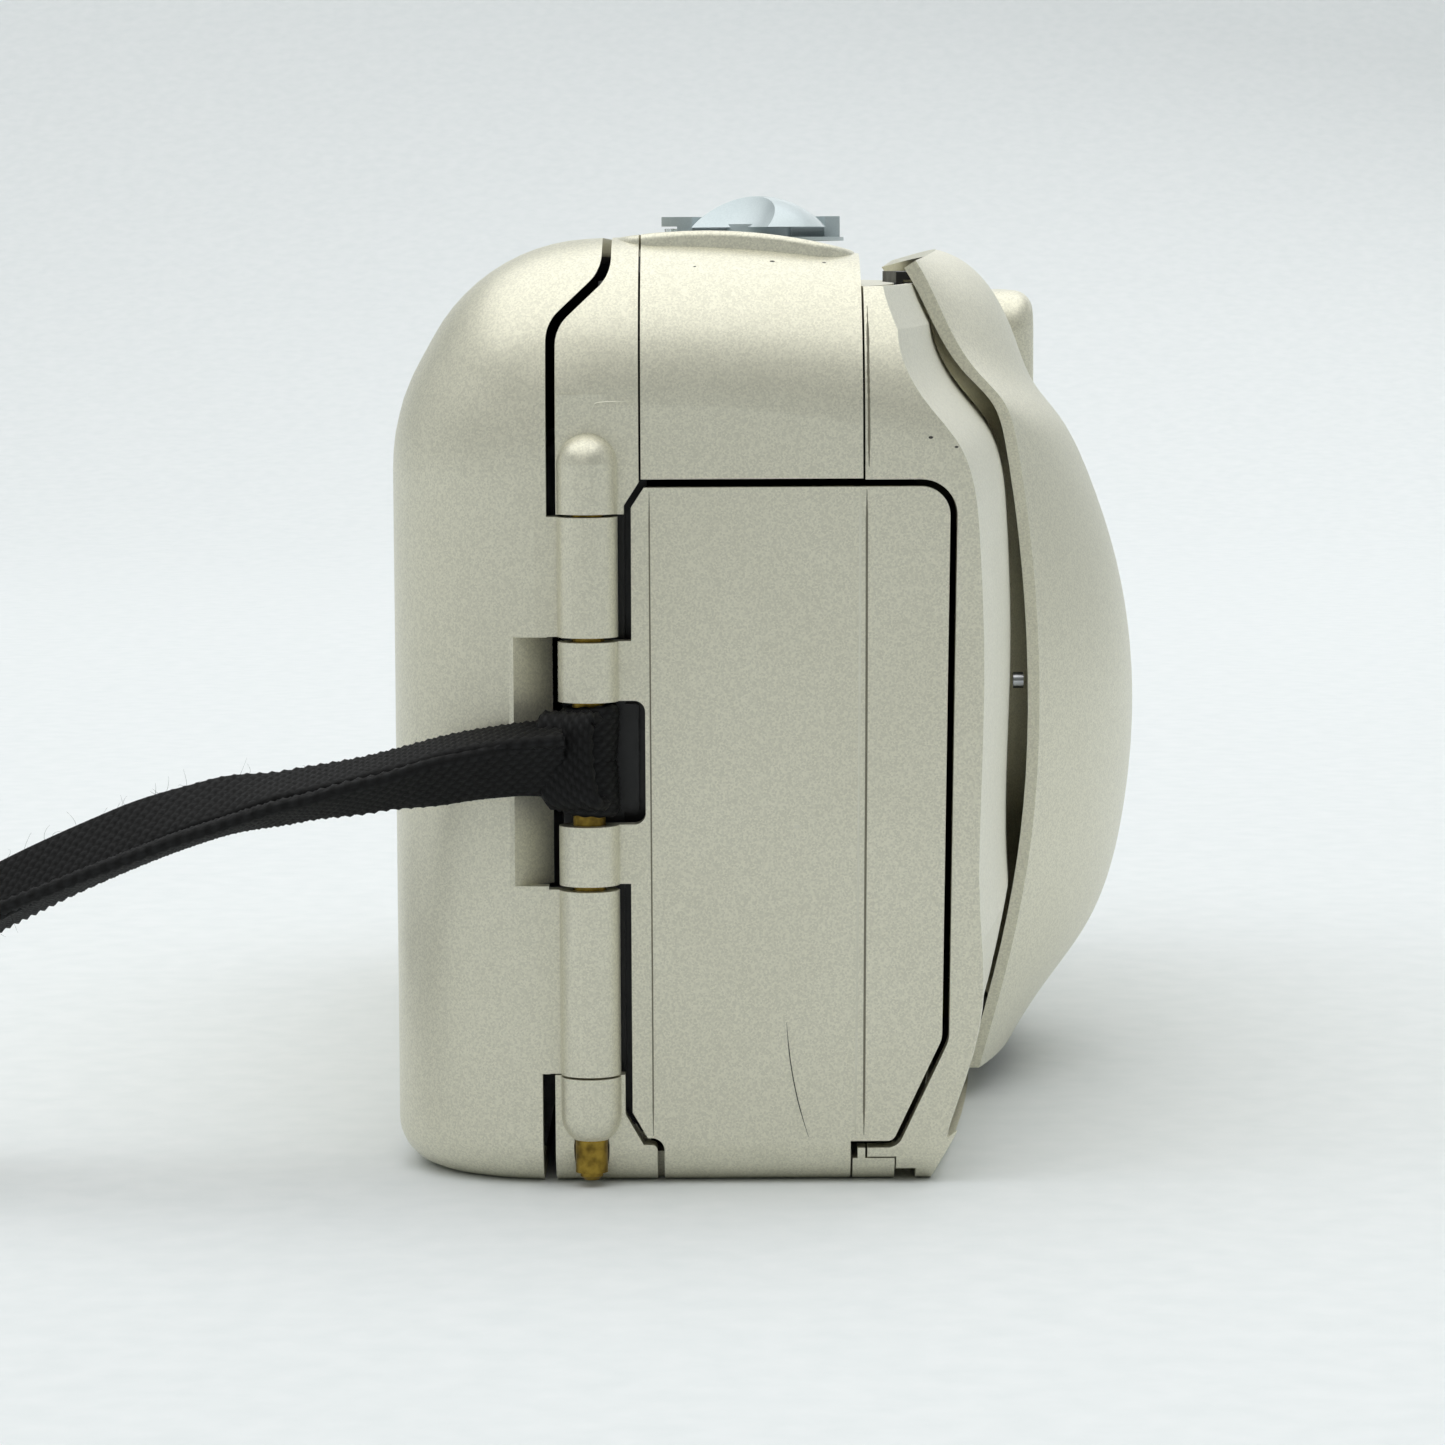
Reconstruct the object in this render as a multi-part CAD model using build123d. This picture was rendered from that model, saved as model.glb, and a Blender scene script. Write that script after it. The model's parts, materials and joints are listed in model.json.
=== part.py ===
from build123d import *
import math
import os

# Compact film camera: x runs along the body (grip and hinge side at -x),
# the lens looks along -y, z is up and z = 0 is the table. Millimetres.

NEAR_X = -57.4            # flat side that carries the hinge
FAR_X = 59.3              # rounded end over the film cartridge
BACK_Y = 25.65            # flat back of the film door
TOP_Z = 59.8              # crown of the deck
WALL = 1.6                # moulded wall
END_ROUND = 10.5          # rounding of both ends into the top and the back
BASE_ROUND = 3.0          # rounding of the base edge
FRONT_RADIUS = 387.0      # plan curve of the front face
FRONT_BULGE = 4.25        # how far the front stands out at mid length
AXIS_Y = 12.9             # hinge axis, in the plane of the near side
KNUCKLE_R = 1.9
PIN_R = 1.02
KNUCKLE_BORE = 1.08       # running fit on the pin
GAP = 0.14                # parting gap between fixed covers
DOOR_GAP = 0.6            # parting gap round the film door
LENS_X = 4.8
LENS_Z = 28.0
GATE_Y = 13.4             # film plane
CARTRIDGE_X, CARTRIDGE_Y, CARTRIDGE_R = 39.4, 2.6, 12.7
SPOOL_X, SPOOL_Y = -25.5, 2.4
BUTTON_X, BUTTON_Y = -44.2, 2.0
BARRIER_MID = -0.5
BARRIER_HALF = 24.5
BARRIER_WALL = 0.8
BARRIER_CLEAR = 0.35      # front cover stays this far behind the moving barrier
FRONT_NEAR_Y = -11.95     # front face where it meets the near side
SPLIT_Y = -4.45           # parting line of the top and front covers
STRIP_Y = 9.6             # parting line of the top cover and the hinge strip
PANEL_TOP = 44.6          # lower end of the top cover on the side
FRONT_TOP = 56.6          # top of the front cover, under the barrier
RAIL_AXIS_Y = FRONT_RADIUS + FRONT_NEAR_Y - FRONT_BULGE   # far axis of the curved rails
BATTERY_GAP = 0.45        # parting gap round the battery door
EYE_X0, EYE_X1, EYE_Z = -4.6, 14.6, 46.5     # eyepiece housing: sides and foot
SOCKET_X, SOCKET_Y, SOCKET_HOLE_R = 12.0, 5.0, 2.6
SCREW_PLACES = [(-34.5, -2.0), (24.5, 7.5), (52.5, 11.5)]
REWIND_PLACE = (-44.0, 6.5)
MODE_BUTTONS = [(8.0, 4.0), (18.0, 4.0), (28.0, 4.0)]
GEAR_MODULE = 0.5
SPOOL_TEETH, IDLER_TEETH, PINION_TEETH = 30, 24, 10
GEAR_Z, GEAR_THICK = 4.6, 2.4
MOTOR_X, MOTOR_Y = -15.5, -9.44

# Heights of each leaf's two barrels on the hinge pin; the strap has the gap between.
HINGE_STACK = {
    "body": [(42.55, 45.65), (4.6, 7.05)],
    "film_door": [(34.85, 42.36), (7.2, 18.9)],
    "battery_door": [(30.8, 34.55), (19.24, 22.99)],
}
STRAP_GAP = (22.99, 30.8)

# Barrier outline in (y, z): over its middle, and at both side edges.
BARRIER_MIDDLE = [
    (-11.2, 59.0), (-14.65, 56.9), (-17.0, 52.6), (-18.3, 49.4), (-20.2, 46.9), (-22.4, 42.6),
    (-24.4, 36.5), (-25.65, 27.0), (-25.0, 18.2), (-22.2, 9.6), (-19.4, 6.0), (-16.8, 2.3),
]
BARRIER_EDGE = [
    (-8.9, 58.2), (-9.9, 56.4), (-11.4, 53.2), (-13.2, 50.5), (-15.0, 48.4), (-15.9, 45.4),
    (-16.9, 38.0), (-17.4, 28.0), (-16.9, 18.8), (-15.3, 10.0), (-14.2, 5.8), (-13.2, 2.3),
]

# Wrist strap: flat webbing standing on edge, out from the hinge pin, down to
# the table and round behind the camera, then back beside itself to the pin.
STRAP_WIDTH = 4.8
STRAP_THICK = 1.1
STRAP_ROUTE = [
    (-60.3, 16.6, 26.7), (-60.7, 26.0, 25.2), (-60.6, 35.5, 23.6), (-59.4, 45.5, 20.4),
    (-56.8, 56.0, 15.6), (-52.8, 67.0, 10.0), (-47.4, 78.5, 5.2), (-40.0, 90.5, 2.6),
    (-30.5, 102.5, 2.5), (-17.5, 112.5, 2.5), (-2.0, 118.5, 2.5), (14.0, 118.0, 2.5),
    (26.0, 109.5, 2.5), (30.0, 96.0, 2.5), (24.0, 84.0, 2.6), (11.0, 79.5, 3.0),
    (-3.5, 84.5, 2.6), (-16.0, 92.0, 2.5), (-28.0, 90.5, 2.6), (-37.0, 81.5, 4.2),
    (-43.8, 70.0, 8.6), (-49.6, 58.5, 14.4), (-54.2, 47.0, 19.8), (-57.2, 36.0, 23.4),
    (-58.5, 26.0, 25.2), (-58.4, 16.6, 26.7),
]
STRAP_TURN = 8            # the first points, down to the table, give the fall


def save(node, shape):
    """Writes one node; a group of like pieces is one node of several solids."""
    export_step(shape, os.path.join("parts", node + ".step"))


def block(x0, x1, y0, y1, z0, z1):
    centre = ((x0 + x1) / 2, (y0 + y1) / 2, (z0 + z1) / 2)
    return Pos(*centre) * Box(x1 - x0, y1 - y0, z1 - z0)


def rod(radius, start, length, axis="Z"):
    """Cylinder from its start point along +X, +Y or +Z."""
    turn = {"X": Rot(0, 90, 0), "Y": Rot(-90, 0, 0), "Z": Rot(0, 0, 0)}[axis]
    bar = Cylinder(radius, length, align=(Align.CENTER, Align.CENTER, Align.MIN))
    return Pos(*start) * turn * bar


def tube(outer, inner, start, length, axis="Z"):
    return rod(outer, start, length, axis) - rod(inner, start, length, axis)


def side_face(points):
    """Face in the (y, z) plane; a third number on a point rounds that corner."""
    outline = Polyline(*[(0, p[0], p[1]) for p in points], close=True)
    face = make_face(outline.edges())
    for y, z, radius in [p for p in points if len(p) == 3]:
        corner = face.vertices().sort_by_distance((0, y, z))[0]
        face = fillet(corner, radius)
    return face


def side_prism(points, x0, x1, grow=0.0):
    """Outline in (y, z), run along x."""
    face = side_face(points)
    if grow:
        face = offset(face, amount=grow, kind=Kind.INTERSECTION)
    return Pos(x0, 0, 0) * extrude(face, amount=x1 - x0, dir=(1, 0, 0))


def plan_prism(points, z0, z1):
    """Outline in (x, y), run up z."""
    face = make_face(Polyline(*[(x, y, z0) for x, y in points], close=True).edges())
    return extrude(face, amount=z1 - z0, dir=(0, 0, 1))


def rounded_slab(x0, x1, y0, y1, z0, z1, radius, axis="Z"):
    """Box with the edges along one axis rounded."""
    slab = block(x0, x1, y0, y1, z0, z1)
    along = {"X": Axis.X, "Y": Axis.Y, "Z": Axis.Z}[axis]
    return fillet(slab.edges().filter_by(along), radius)


# ---------------------------------------------------------------- envelope

def side_blank(inset):
    """Rounded block: flat near side, sloping back corner, crowned top."""
    low = -15.0
    crown_y, crown_r = 9.0, 80.0
    front = -30.0

    def crown(y):
        return TOP_Z - crown_r + math.sqrt(crown_r**2 - (y - crown_y) ** 2)

    corner_top = (19.85, crown(19.85))
    corner_back = (BACK_Y, 48.7)
    top = ThreePointArc((0, front, crown(front)), (0, -5, crown(-5)), (0, *corner_top))
    slope = Line((0, *corner_top), (0, *corner_back))
    back = Line((0, *corner_back), (0, BACK_Y, low))
    base = Line((0, BACK_Y, low), (0, front, low))
    face = make_face([top, slope, back, base, Line((0, front, low), top @ 0)])
    corners = face.vertices().filter_by(lambda v: v.Y > 10 and v.Z > 0)
    face = fillet(corners.sort_by(Axis.Z)[0], 14.0)
    corners = face.vertices().filter_by(lambda v: abs(v.Y - corner_top[0]) < 0.01)
    face = fillet(corners, 12.0)
    if inset:
        face = offset(face, amount=-inset)
    x0 = NEAR_X + inset
    blank = Pos(x0, 0, 0) * extrude(face, amount=FAR_X - NEAR_X - 2 * inset, dir=(1, 0, 0))
    ends = blank.edges().filter_by(
        lambda e: (e @ 0.5).Z > low + inset + 1
        and (e @ 0.5).Y > front + inset + 1
        and (abs((e @ 0.5).X - x0) < 0.01 or abs((e @ 0.5).X - FAR_X + inset) < 0.01)
    )
    blank = fillet(ends, END_ROUND - inset)
    blank -= block(-90, 90, -90, 90, -40, inset)
    rim = blank.edges().filter_by(
        lambda e: abs((e @ 0.5).Z - inset) < 0.01 and (e @ 0.5).Y > front + inset + 1
    )
    return fillet(rim, BASE_ROUND - inset * 0.7)


def rail_sweep(face):
    """Turns a face at x = 0 about the far axis, to both sides."""
    turned = revolve(face, Axis((0, RAIL_AXIS_Y, 0), (0, 0, 1)), revolution_arc=24)
    return Pos(0, RAIL_AXIS_Y, 0) * Rot(0, 0, -12) * Pos(0, -RAIL_AXIS_Y, 0) * turned


def rail_band(y0, y1, z0, z1, x0, x1):
    """Curved bar along the rails; y0 and y1 are its faces at x = 0."""
    middle = rail_shift((x0 + x1) / 2)
    ring = tube(RAIL_AXIS_Y - y0, RAIL_AXIS_Y - y1, (0, RAIL_AXIS_Y, z0), z1 - z0)
    return ring & block(x0, x1, y0 - 1, y1 + middle + 6, z0 - 1, z1 + 1)


def rail_shift(x):
    """How far the rails lie behind their own middle at x."""
    return FRONT_RADIUS - math.sqrt(FRONT_RADIUS**2 - x**2)


def front_trim(inset):
    """Everything behind the curved front face: an outline turned about a far axis."""
    outline = [
        (-6.35, 80.0), (-6.35, 56.0), (-6.5, 53.2), (-8.2, 49.6), (-10.5, 46.6),
        (-11.7, 40.8), (-11.95, 31.0), (-11.7, 17.0), (-10.9, 7.2), (-9.7, 3.0), (-8.3, 0.0),
    ]
    face_y = [(y - FRONT_BULGE + inset, z) for y, z in outline]
    top = Line((0, *face_y[0]), (0, *face_y[1]))
    curve = Spline(*[(0, y, z) for y, z in face_y[1:]], tangents=[(0, 0, -1), (0, 0.6, -1)])
    foot = Line((0, *face_y[-1]), (0, face_y[-1][0] + 9, -15))
    rear = Polyline((0, face_y[-1][0] + 9, -15), (0, 60, -15), (0, 60, 80), (0, *face_y[0]))
    face = make_face([top, curve, foot, *rear.edges()])
    return rail_sweep(face)


def envelope(inset=0.0):
    return side_blank(inset) & front_trim(inset)


# ---------------------------------------------------------------- hinge

def knuckles(owner):
    """Barrels of one leaf, bored for the pin."""
    barrels = [
        tube(KNUCKLE_R, KNUCKLE_BORE, (NEAR_X, AXIS_Y, low), high - low)
        for low, high in HINGE_STACK[owner]
    ]
    return barrels[0] + barrels[1]


def hinge_pin():
    low, high = 0.95, 46.4
    pin = rod(PIN_R, (NEAR_X, AXIS_Y, low), high - low) + rod(0.72, (NEAR_X, AXIS_Y, 0.45), 0.6)
    return chamfer(pin.edges().group_by(Axis.Z)[0], 0.25)


# ---------------------------------------------------------------- outlines

def film_door_outline():
    """Edge of the film door on the side, with its swept upper end."""
    return [
        (15.97, -2), (15.97, 7.17), (15.47, 7.17), (15.47, 19.1), (17.47, 19.1),
        (17.47, 34.8), (15.47, 34.8), (15.47, 54.4, 2.5), (12.0, 57.7, 2.5), (12.0, 66),
        (40, 66), (40, -2),
    ]


def body_outline():
    """Fixed part in front of the film door."""
    return [
        (SPLIT_Y + GAP / 2, -2), (15.97 - DOOR_GAP - 0.2, -2), (15.97 - DOOR_GAP - 0.2, 7.1),
        (14.87, 7.1), (14.87, 54.1, 2.5), (11.4, 57.4, 2.5), (11.4, 66),
        (STRIP_Y + GAP / 2, 66), (STRIP_Y + GAP / 2, PANEL_TOP - GAP / 2),
        (SPLIT_Y + GAP / 2, PANEL_TOP - GAP / 2),
    ]


def battery_door_outline():
    """Side panel over the cell, notched on its hinge edge for the strap."""
    low, high = STRAP_GAP
    return [
        (8.3, -2), (8.3, 3.05, 0.8), (9.35, 3.05), (10.3, 4.7), (10.3, low), (9.35, low, 0.7),
        (9.35, high, 0.7), (10.2, high), (10.16, 42.9), (9.35, 44.15), (-9.85, 44.15, 1.8),
        (-9.25, 9.3, 1.5), (-6.15, 2.8, 0.6), (-3.46, 2.8), (-3.46, -2),
    ]


def battery_opening(depth):
    return side_prism(battery_door_outline(), NEAR_X - 3, NEAR_X + depth, grow=BATTERY_GAP)


# ---------------------------------------------------------------- covers

def deck_crown():
    """Low raised deck on the top cover."""
    low = TOP_Z - 1.4
    rise = ThreePointArc((0, -4.2, TOP_Z - 1.0), (0, 4, TOP_Z + 0.35), (0, 11.35, TOP_Z - 0.1))
    sides = Polyline(rise @ 1, (0, 11.35, low), (0, -4.2, low), rise @ 0)
    crown = Pos(-50.4, 0, 0) * extrude(make_face([rise, *sides.edges()]), amount=96, dir=(1, 0, 0))
    ends = crown.edges().filter_by(Axis.Z)
    crown = fillet(ends.filter_by(lambda e: (e @ 0.5).X < 0), 3.0)
    rim = crown.faces().sort_by(Axis.Z)[-1].edges().filter_by(lambda e: (e @ 0.5).X < -46)
    return fillet(rim, 0.45)


def top_cover(outer, inner):
    region = [
        (SPLIT_Y + GAP / 2, PANEL_TOP + GAP / 2), (STRIP_Y - GAP / 2, PANEL_TOP + GAP / 2),
        (STRIP_Y - GAP / 2, 66), (SPLIT_Y + GAP / 2, 66),
    ]
    cover = (outer - inner) & side_prism(region, -70, 70)
    lip = outer & block(-52, 54, SPLIT_Y + GAP / 2, SPLIT_Y + 1.4, FRONT_TOP - 1.4, 66)
    crown = deck_crown() & side_prism(region, -70, 70)
    cover = cover + lip + crown
    cover -= rod(5.75, (BUTTON_X, BUTTON_Y, 59.4), 5)
    cover -= rod(3.2, (BUTTON_X, BUTTON_Y, 50), 12)
    cover -= block(-25, -7, 0.4, 8.4, TOP_Z + 0.1, 66)
    cover -= block(-23, -9, 1.4, 7.4, 50, 66)
    for x, y in MODE_BUTTONS:
        cover -= rod(2.35, (x, y, 50), 15)
    return cover


def barrier_grooves():
    """Curved grooves in the front cover for the barrier's tongues."""
    top = rail_band(-8.85, -8.05, 55.5, 58, -48.6, 17.2)
    foot = rail_band(-40, -10.35, 1.1, 2.1, -52.5, 26)
    return top + foot


def barrier_bed():
    """Room in front of the front cover that the barrier sweeps."""
    back = rail_shift(BARRIER_HALF)
    edge = [
        (y + BARRIER_WALL + BARRIER_CLEAR - back, z) for y, z in BARRIER_EDGE
    ]
    edge[0] = (edge[0][0], 62.0)
    edge[-1] = (edge[-1][0], 1.9)
    curve = Spline(*[(0, y, z) for y, z in edge])
    rest = Polyline(curve @ 1, (0, -60, 1.9), (0, -60, 62.0), curve @ 0)
    return rail_sweep(make_face([curve, *rest.edges()])) & block(-56.6, 26.0, -60, 0, 0, 66)


def flash_housing():
    """Rounded housing of the flash, standing out beside the barrier."""
    blank = rounded_slab(26.5, 50, -20.2, -9, 42.5, 55.8, 3.0, "Y")
    return fillet(blank.faces().sort_by(Axis.Y)[0].edges(), 1.6)


def front_cover(outer, inner):
    cover = outer & block(-70, 70, -40, SPLIT_Y - GAP / 2, -5, FRONT_TOP)
    cover -= inner & block(-70, 70, -40, 0, -5, FRONT_TOP - WALL)
    cover += flash_housing() - inner
    cover -= block(28.4, 48.1, -18.6, -9, 44.4, 53.9)
    cover -= block(30, 46.5, -30, -15, 45.6, 52.7)
    cover -= barrier_grooves() + barrier_bed()
    cover -= block(-70, -48, -6.35, 0, -5, 1.75) + block(-70, -52, -7.6, -6, -5, 0.9)
    cover -= battery_opening(4)
    cover -= rod(14.6, (LENS_X, -30, LENS_Z), 28, "Y")
    cover -= rounded_slab(LENS_X - 6, LENS_X + 6, -30, -9, 46.4, 52.6, 1.0, "Y")
    cover -= rounded_slab(14.6, 22.4, -30, -9, 46.4, 52.6, 1.0, "Y")
    cover -= rod(1.5, (28.6, -30, 38.5), 22, "Y")
    return cover


def hinge_strip_parts(outer):
    """Fixed barrels and their domed ends, flush with the side below the pin."""
    upper, lower = HINGE_STACK["body"]
    domes = Pos(NEAR_X, AXIS_Y, upper[1]) * Sphere(KNUCKLE_R)
    domes += Pos(NEAR_X, AXIS_Y, lower[0]) * Sphere(KNUCKLE_R)
    webs = block(NEAR_X, -54.5, AXIS_Y - 1.2, 14.8, upper[0], 50)
    webs += block(NEAR_X, -54.5, AXIS_Y - 1.6, 14.8, 1.2, lower[1]) & outer
    return knuckles("body") + domes + webs


def light_box():
    """Tunnel behind the lens, ending in the film gate."""
    box = block(LENS_X - 20, LENS_X + 20, -2.2, GATE_Y - 1, LENS_Z - 14.5, LENS_Z + 14.5)
    box -= block(LENS_X - 18, LENS_X + 18, -1.2, GATE_Y + 1, LENS_Z - 12, LENS_Z + 12)
    return box - rod(9.2, (LENS_X, -5, LENS_Z), 10, "Y")


def chamber(x, y, radius, wall, z0, z1):
    """Round chamber with straight cheeks, open towards the film plane."""
    cheeks = block(x - radius - wall, x + radius + wall, y, GATE_Y, z0, z1)
    hollow = rod(radius, (x, y, z0 - 1), z1 - z0 + 2)
    hollow += block(x - radius, x + radius, y, GATE_Y + 5, z0 - 1, z1 + 1)
    return rod(radius + wall, (x, y, z0), z1 - z0) + cheeks, hollow


def body_frame(outer, inner):
    frame = (outer - inner) & side_prism(body_outline(), -70, 70)
    frame += deck_crown() & side_prism(body_outline(), -70, 70)
    core = envelope(0.8)
    frame += core & block(-52, 55, 9.5, 11.3, 54, 59)
    gate = block(-54.4, 56, GATE_Y - 2.2, GATE_Y, 1, 57)
    frame += core & gate - block(-56, 60, 12.2, 14, 55.2, 58)
    frame += block(-54.4, -53.0, 9.2, 14.6, 1.2, 52)
    frame += block(-37.9, -37.0, -4.4, 12, 1, 43.8) + block(-53.4, -37.0, -4.4, 12, 42.9, 43.8)
    spool_walls, spool_room = chamber(SPOOL_X, SPOOL_Y, 10.3, 0.9, 10, 50)
    film_walls, film_room = chamber(CARTRIDGE_X, CARTRIDGE_Y, CARTRIDGE_R, 0.8, 6, 50)
    keep_off = front_trim(WALL + 0.3) & block(-70, 70, -40, 40, 0, FRONT_TOP - WALL - 0.3)
    film_walls = film_walls & keep_off
    frame += light_box() + spool_walls + film_walls
    frame += block(CARTRIDGE_X - 13.5, CARTRIDGE_X + 13.5, 1.5, GATE_Y, 5.2, 6.4)
    frame += block(SPOOL_X - 11, SPOOL_X + 11, 0, GATE_Y, 9, 10.4)
    frame -= spool_room + film_room
    frame -= block(LENS_X - 18, LENS_X + 18, 0, GATE_Y + 1, LENS_Z - 12, LENS_Z + 12)
    frame -= block(-60, -54.6, 8.9, 18, 7.1, 42.5)
    frame -= battery_opening(3.6)
    frame -= block(LENS_X - 5, LENS_X + 5, 9, 16, 47.4, 51.6)
    frame += hinge_strip_parts(outer)
    frame += outer & block(-70, -48.1, -6.25, -3.6, -5, 1.65)
    frame += rod(0.92, (*gear_layout()[1], 1.0), 7.4)
    frame -= rod(KNUCKLE_BORE, (NEAR_X, AXIS_Y, 0.2), 46.4)
    frame -= block(-60, NEAR_X + 0.4, AXIS_Y - 0.95, AXIS_Y + 0.95, -1, 2.7)
    frame -= rod(1.12, (NEAR_X, AXIS_Y, -1), 3.7)
    frame -= rod(5.05, (SOCKET_X, SOCKET_Y, -1), 5)
    for x, y in SCREW_PLACES:
        frame -= rod(0.95, (x, y, -1), 12) + rod(1.75, (x, y, -1), 2.1)
    frame -= rod(1.35, (*REWIND_PLACE, -1), 5)
    frame -= rod(1.3, (SPOOL_X, SPOOL_Y, 1), 12) + rod(3.3, (CARTRIDGE_X, CARTRIDGE_Y, 1), 6)
    frame -= block(58.2, 70, 5.9, 12.1, 19.5, 37) + block(56, 70, 7.9, 10.1, 22, 34.5)
    frame -= latch_slot()
    return frame


def latch_slot():
    """Slot in the gate flange that the door's hook passes."""
    return block(54.3, 57.2, 8, 16, 24.2, 32.2)


# ---------------------------------------------------------------- film door

def film_door(outer, inner):
    door = (outer - inner) & side_prism(film_door_outline(), -70, 70)
    for low, high in HINGE_STACK["film_door"]:
        door += block(NEAR_X, NEAR_X + WALL, AXIS_Y, 16.2, low, high)
    door += plan_prism([(-57.3, 17.6), (-56.6, 18.4), (-54.9, 15.9), (-55.3, 15.2)], 19.1, 34.8)
    door += knuckles("film_door")
    door -= rod(KNUCKLE_BORE, (NEAR_X, AXIS_Y, 0), 60)
    door -= block(EYE_X0 - 0.5, EYE_X1 + 0.5, 5, 40, EYE_Z - 0.4, 66)
    door -= block(33, 47, 20, 40, 20, 36)
    return door


def door_liner():
    """Black inner panel that carries the pressure plate, on four posts."""
    panel = rounded_slab(-49, 50, 17.4, 18.6, 5, 44.5, 3.0, "Y")
    for x in (-40, 28):
        for z in (10, 40):
            panel += rod(2.0, (x, 18, z), 5.95, "Y")
    return panel


def pressure_plate():
    plate = rounded_slab(LENS_X - 24, LENS_X + 24, 14.0, 14.8, 12, 44, 1.5, "Y")
    for x in (LENS_X - 15, LENS_X + 15):
        plate += block(x - 2, x + 2, 14.8, 15.1, 20, 36)
    return plate


def plate_spring():
    """Flat bowed leaf between the liner and the pressure plate."""
    bow = [(-16, 15.2), (16, 15.2), (16, 15.5), (4, 17.3), (-4, 17.3), (-16, 15.5)]
    return plan_prism([(LENS_X + x, y) for x, y in bow], 25, 31)


def door_seals():
    left = block(-48.5, -45.5, 16.3, 17.35, 7, 43)
    right = block(46.5, 49.5, 16.3, 17.35, 7, 43)
    return Compound([left, right])


def latch_hook():
    """Steel hook on the free end of the film door."""
    arm = block(55.0, 56.0, 10.6, 22.5, 25.5, 30.5)
    nose = block(54.5, 55.2, 10.6, 12.2, 25.5, 30.5)
    foot = block(53.6, 57.0, 18.8, 22.4, 25.5, 30.5)
    return arm + nose + foot & envelope(WALL + 0.1)


def latch_slider():
    """Thumb slide on the far end, ribbed, with a lug behind the wall."""
    thumb = rounded_slab(58.35, 59.25, 6.2, 11.8, 20, 33, 1.0, "X")
    for step in range(4):
        thumb -= block(59.0, 60, 5, 13, 23 + step * 2, 23.8 + step * 2)
    return thumb + block(57.9, 58.6, 8.2, 9.8, 23, 31)


# ---------------------------------------------------------------- battery

def battery_door(outer, inner):
    panel = side_prism(battery_door_outline(), NEAR_X - 3, -54.7)
    door = (outer - inner) & panel
    for low, high in HINGE_STACK["battery_door"]:
        web = block(NEAR_X, NEAR_X + WALL, 9.8, AXIS_Y, low, high)
        door += web
    door += knuckles("battery_door")
    return door - rod(KNUCKLE_BORE, (NEAR_X, AXIS_Y, 0), 60)


def battery():
    cell = rod(8.4, (-46.6, 0, 5.6), 33.4)
    cell = fillet(cell.edges(), 0.8)
    return cell + rod(3.2, (-46.6, 0, 38.5), 1.6)


def contact_plate(z, thick):
    plate = block(-50, -43, -3, 3, z, z + thick)
    return plate + block(-43.3, -42.7, -3, 3, z - 0.5, z + thick)


# ---------------------------------------------------------------- lens

def lens_housing():
    housing = tube(14.3, 11.9, (LENS_X, -14.2, LENS_Z), 11.9, "Y")
    return housing + tube(14.3, 10.2, (LENS_X, -3.2, LENS_Z), 0.9, "Y")


def lens_bezel():
    """Stepped trim ring round the barrel, on the front cover."""
    ring = tube(14.4, 11.9, (LENS_X, -15.9, LENS_Z), 1.6, "Y")
    return ring + tube(12.7, 11.9, (LENS_X, -16.2, LENS_Z), 1.0, "Y")


def zoom_barrel(outer_r, inner_r, front_y, length, lip):
    """Open tube with an inner lip at its front end."""
    barrel = tube(outer_r, inner_r, (LENS_X, front_y, LENS_Z), length, "Y")
    barrel += tube(inner_r + 0.3, inner_r - lip, (LENS_X, front_y, LENS_Z), 0.9, "Y")
    return barrel


def lens_element(radius, y, thick, bulge):
    """Biconvex glass with a cylindrical edge."""
    ball_r = (radius**2 + bulge**2) / (2 * bulge)
    edge = rod(radius, (LENS_X, y - bulge, LENS_Z), thick + 2 * bulge, "Y")
    front = Pos(LENS_X, y - bulge + ball_r, LENS_Z) * Sphere(ball_r)
    rear = Pos(LENS_X, y + thick + bulge - ball_r, LENS_Z) * Sphere(ball_r)
    return edge & front & rear


def barrier_section(x):
    """Outline of the barrier at one x: outer face and the inner face behind it."""
    swell = ((x - BARRIER_MID) / BARRIER_HALF) ** 2
    points = [
        (x, m[0] + (e[0] - m[0]) * swell, m[1] + (e[1] - m[1]) * swell)
        for m, e in zip(BARRIER_MIDDLE, BARRIER_EDGE)
    ]
    outer = Spline(*points)
    drop = [BARRIER_WALL * 0.7 * max(0, (z - 47) / 12) for _, _, z in points]
    inner = Spline(*[(x, y + BARRIER_WALL, z - d) for (x, y, z), d in zip(points, drop)])
    return make_face([outer, Line(outer @ 1, inner @ 1), inner, Line(inner @ 0, outer @ 0)])


def lens_barrier():
    """Domed sliding cover; closed over the lens at rest."""
    stations = [BARRIER_MID + BARRIER_HALF * s for s in (-1, -0.5, 0, 0.5, 1)]
    return loft([barrier_section(x) for x in stations])


def barrier_top_shoe():
    """Black shoe under the upper rim, with a tongue in the upper groove."""
    shoe = rail_band(-10.4, -8.2, 56.85, 57.4, -16.2, 15.2)
    return shoe + rail_band(-8.72, -8.2, 55.8, 57.2, -16.2, 15.2)


def barrier_foot_shoe():
    shoe = rail_band(-15.3, -10.7, 1.35, 1.85, -8.5, 7.5)
    shoe += rail_band(-13.0, -10.7, 1.35, 1.85, -20, 19)
    return shoe + rail_band(-15.2, -14.5, 1.35, 3.6, -8.5, 7.5)


def barrier_stop_pin():
    """Steel stop behind the near edge of the barrier."""
    return rod(0.55, (BARRIER_MID - BARRIER_HALF + 1.4, -16.35, 29.2), 0.7, "Y")


# ---------------------------------------------------------------- controls

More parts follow.
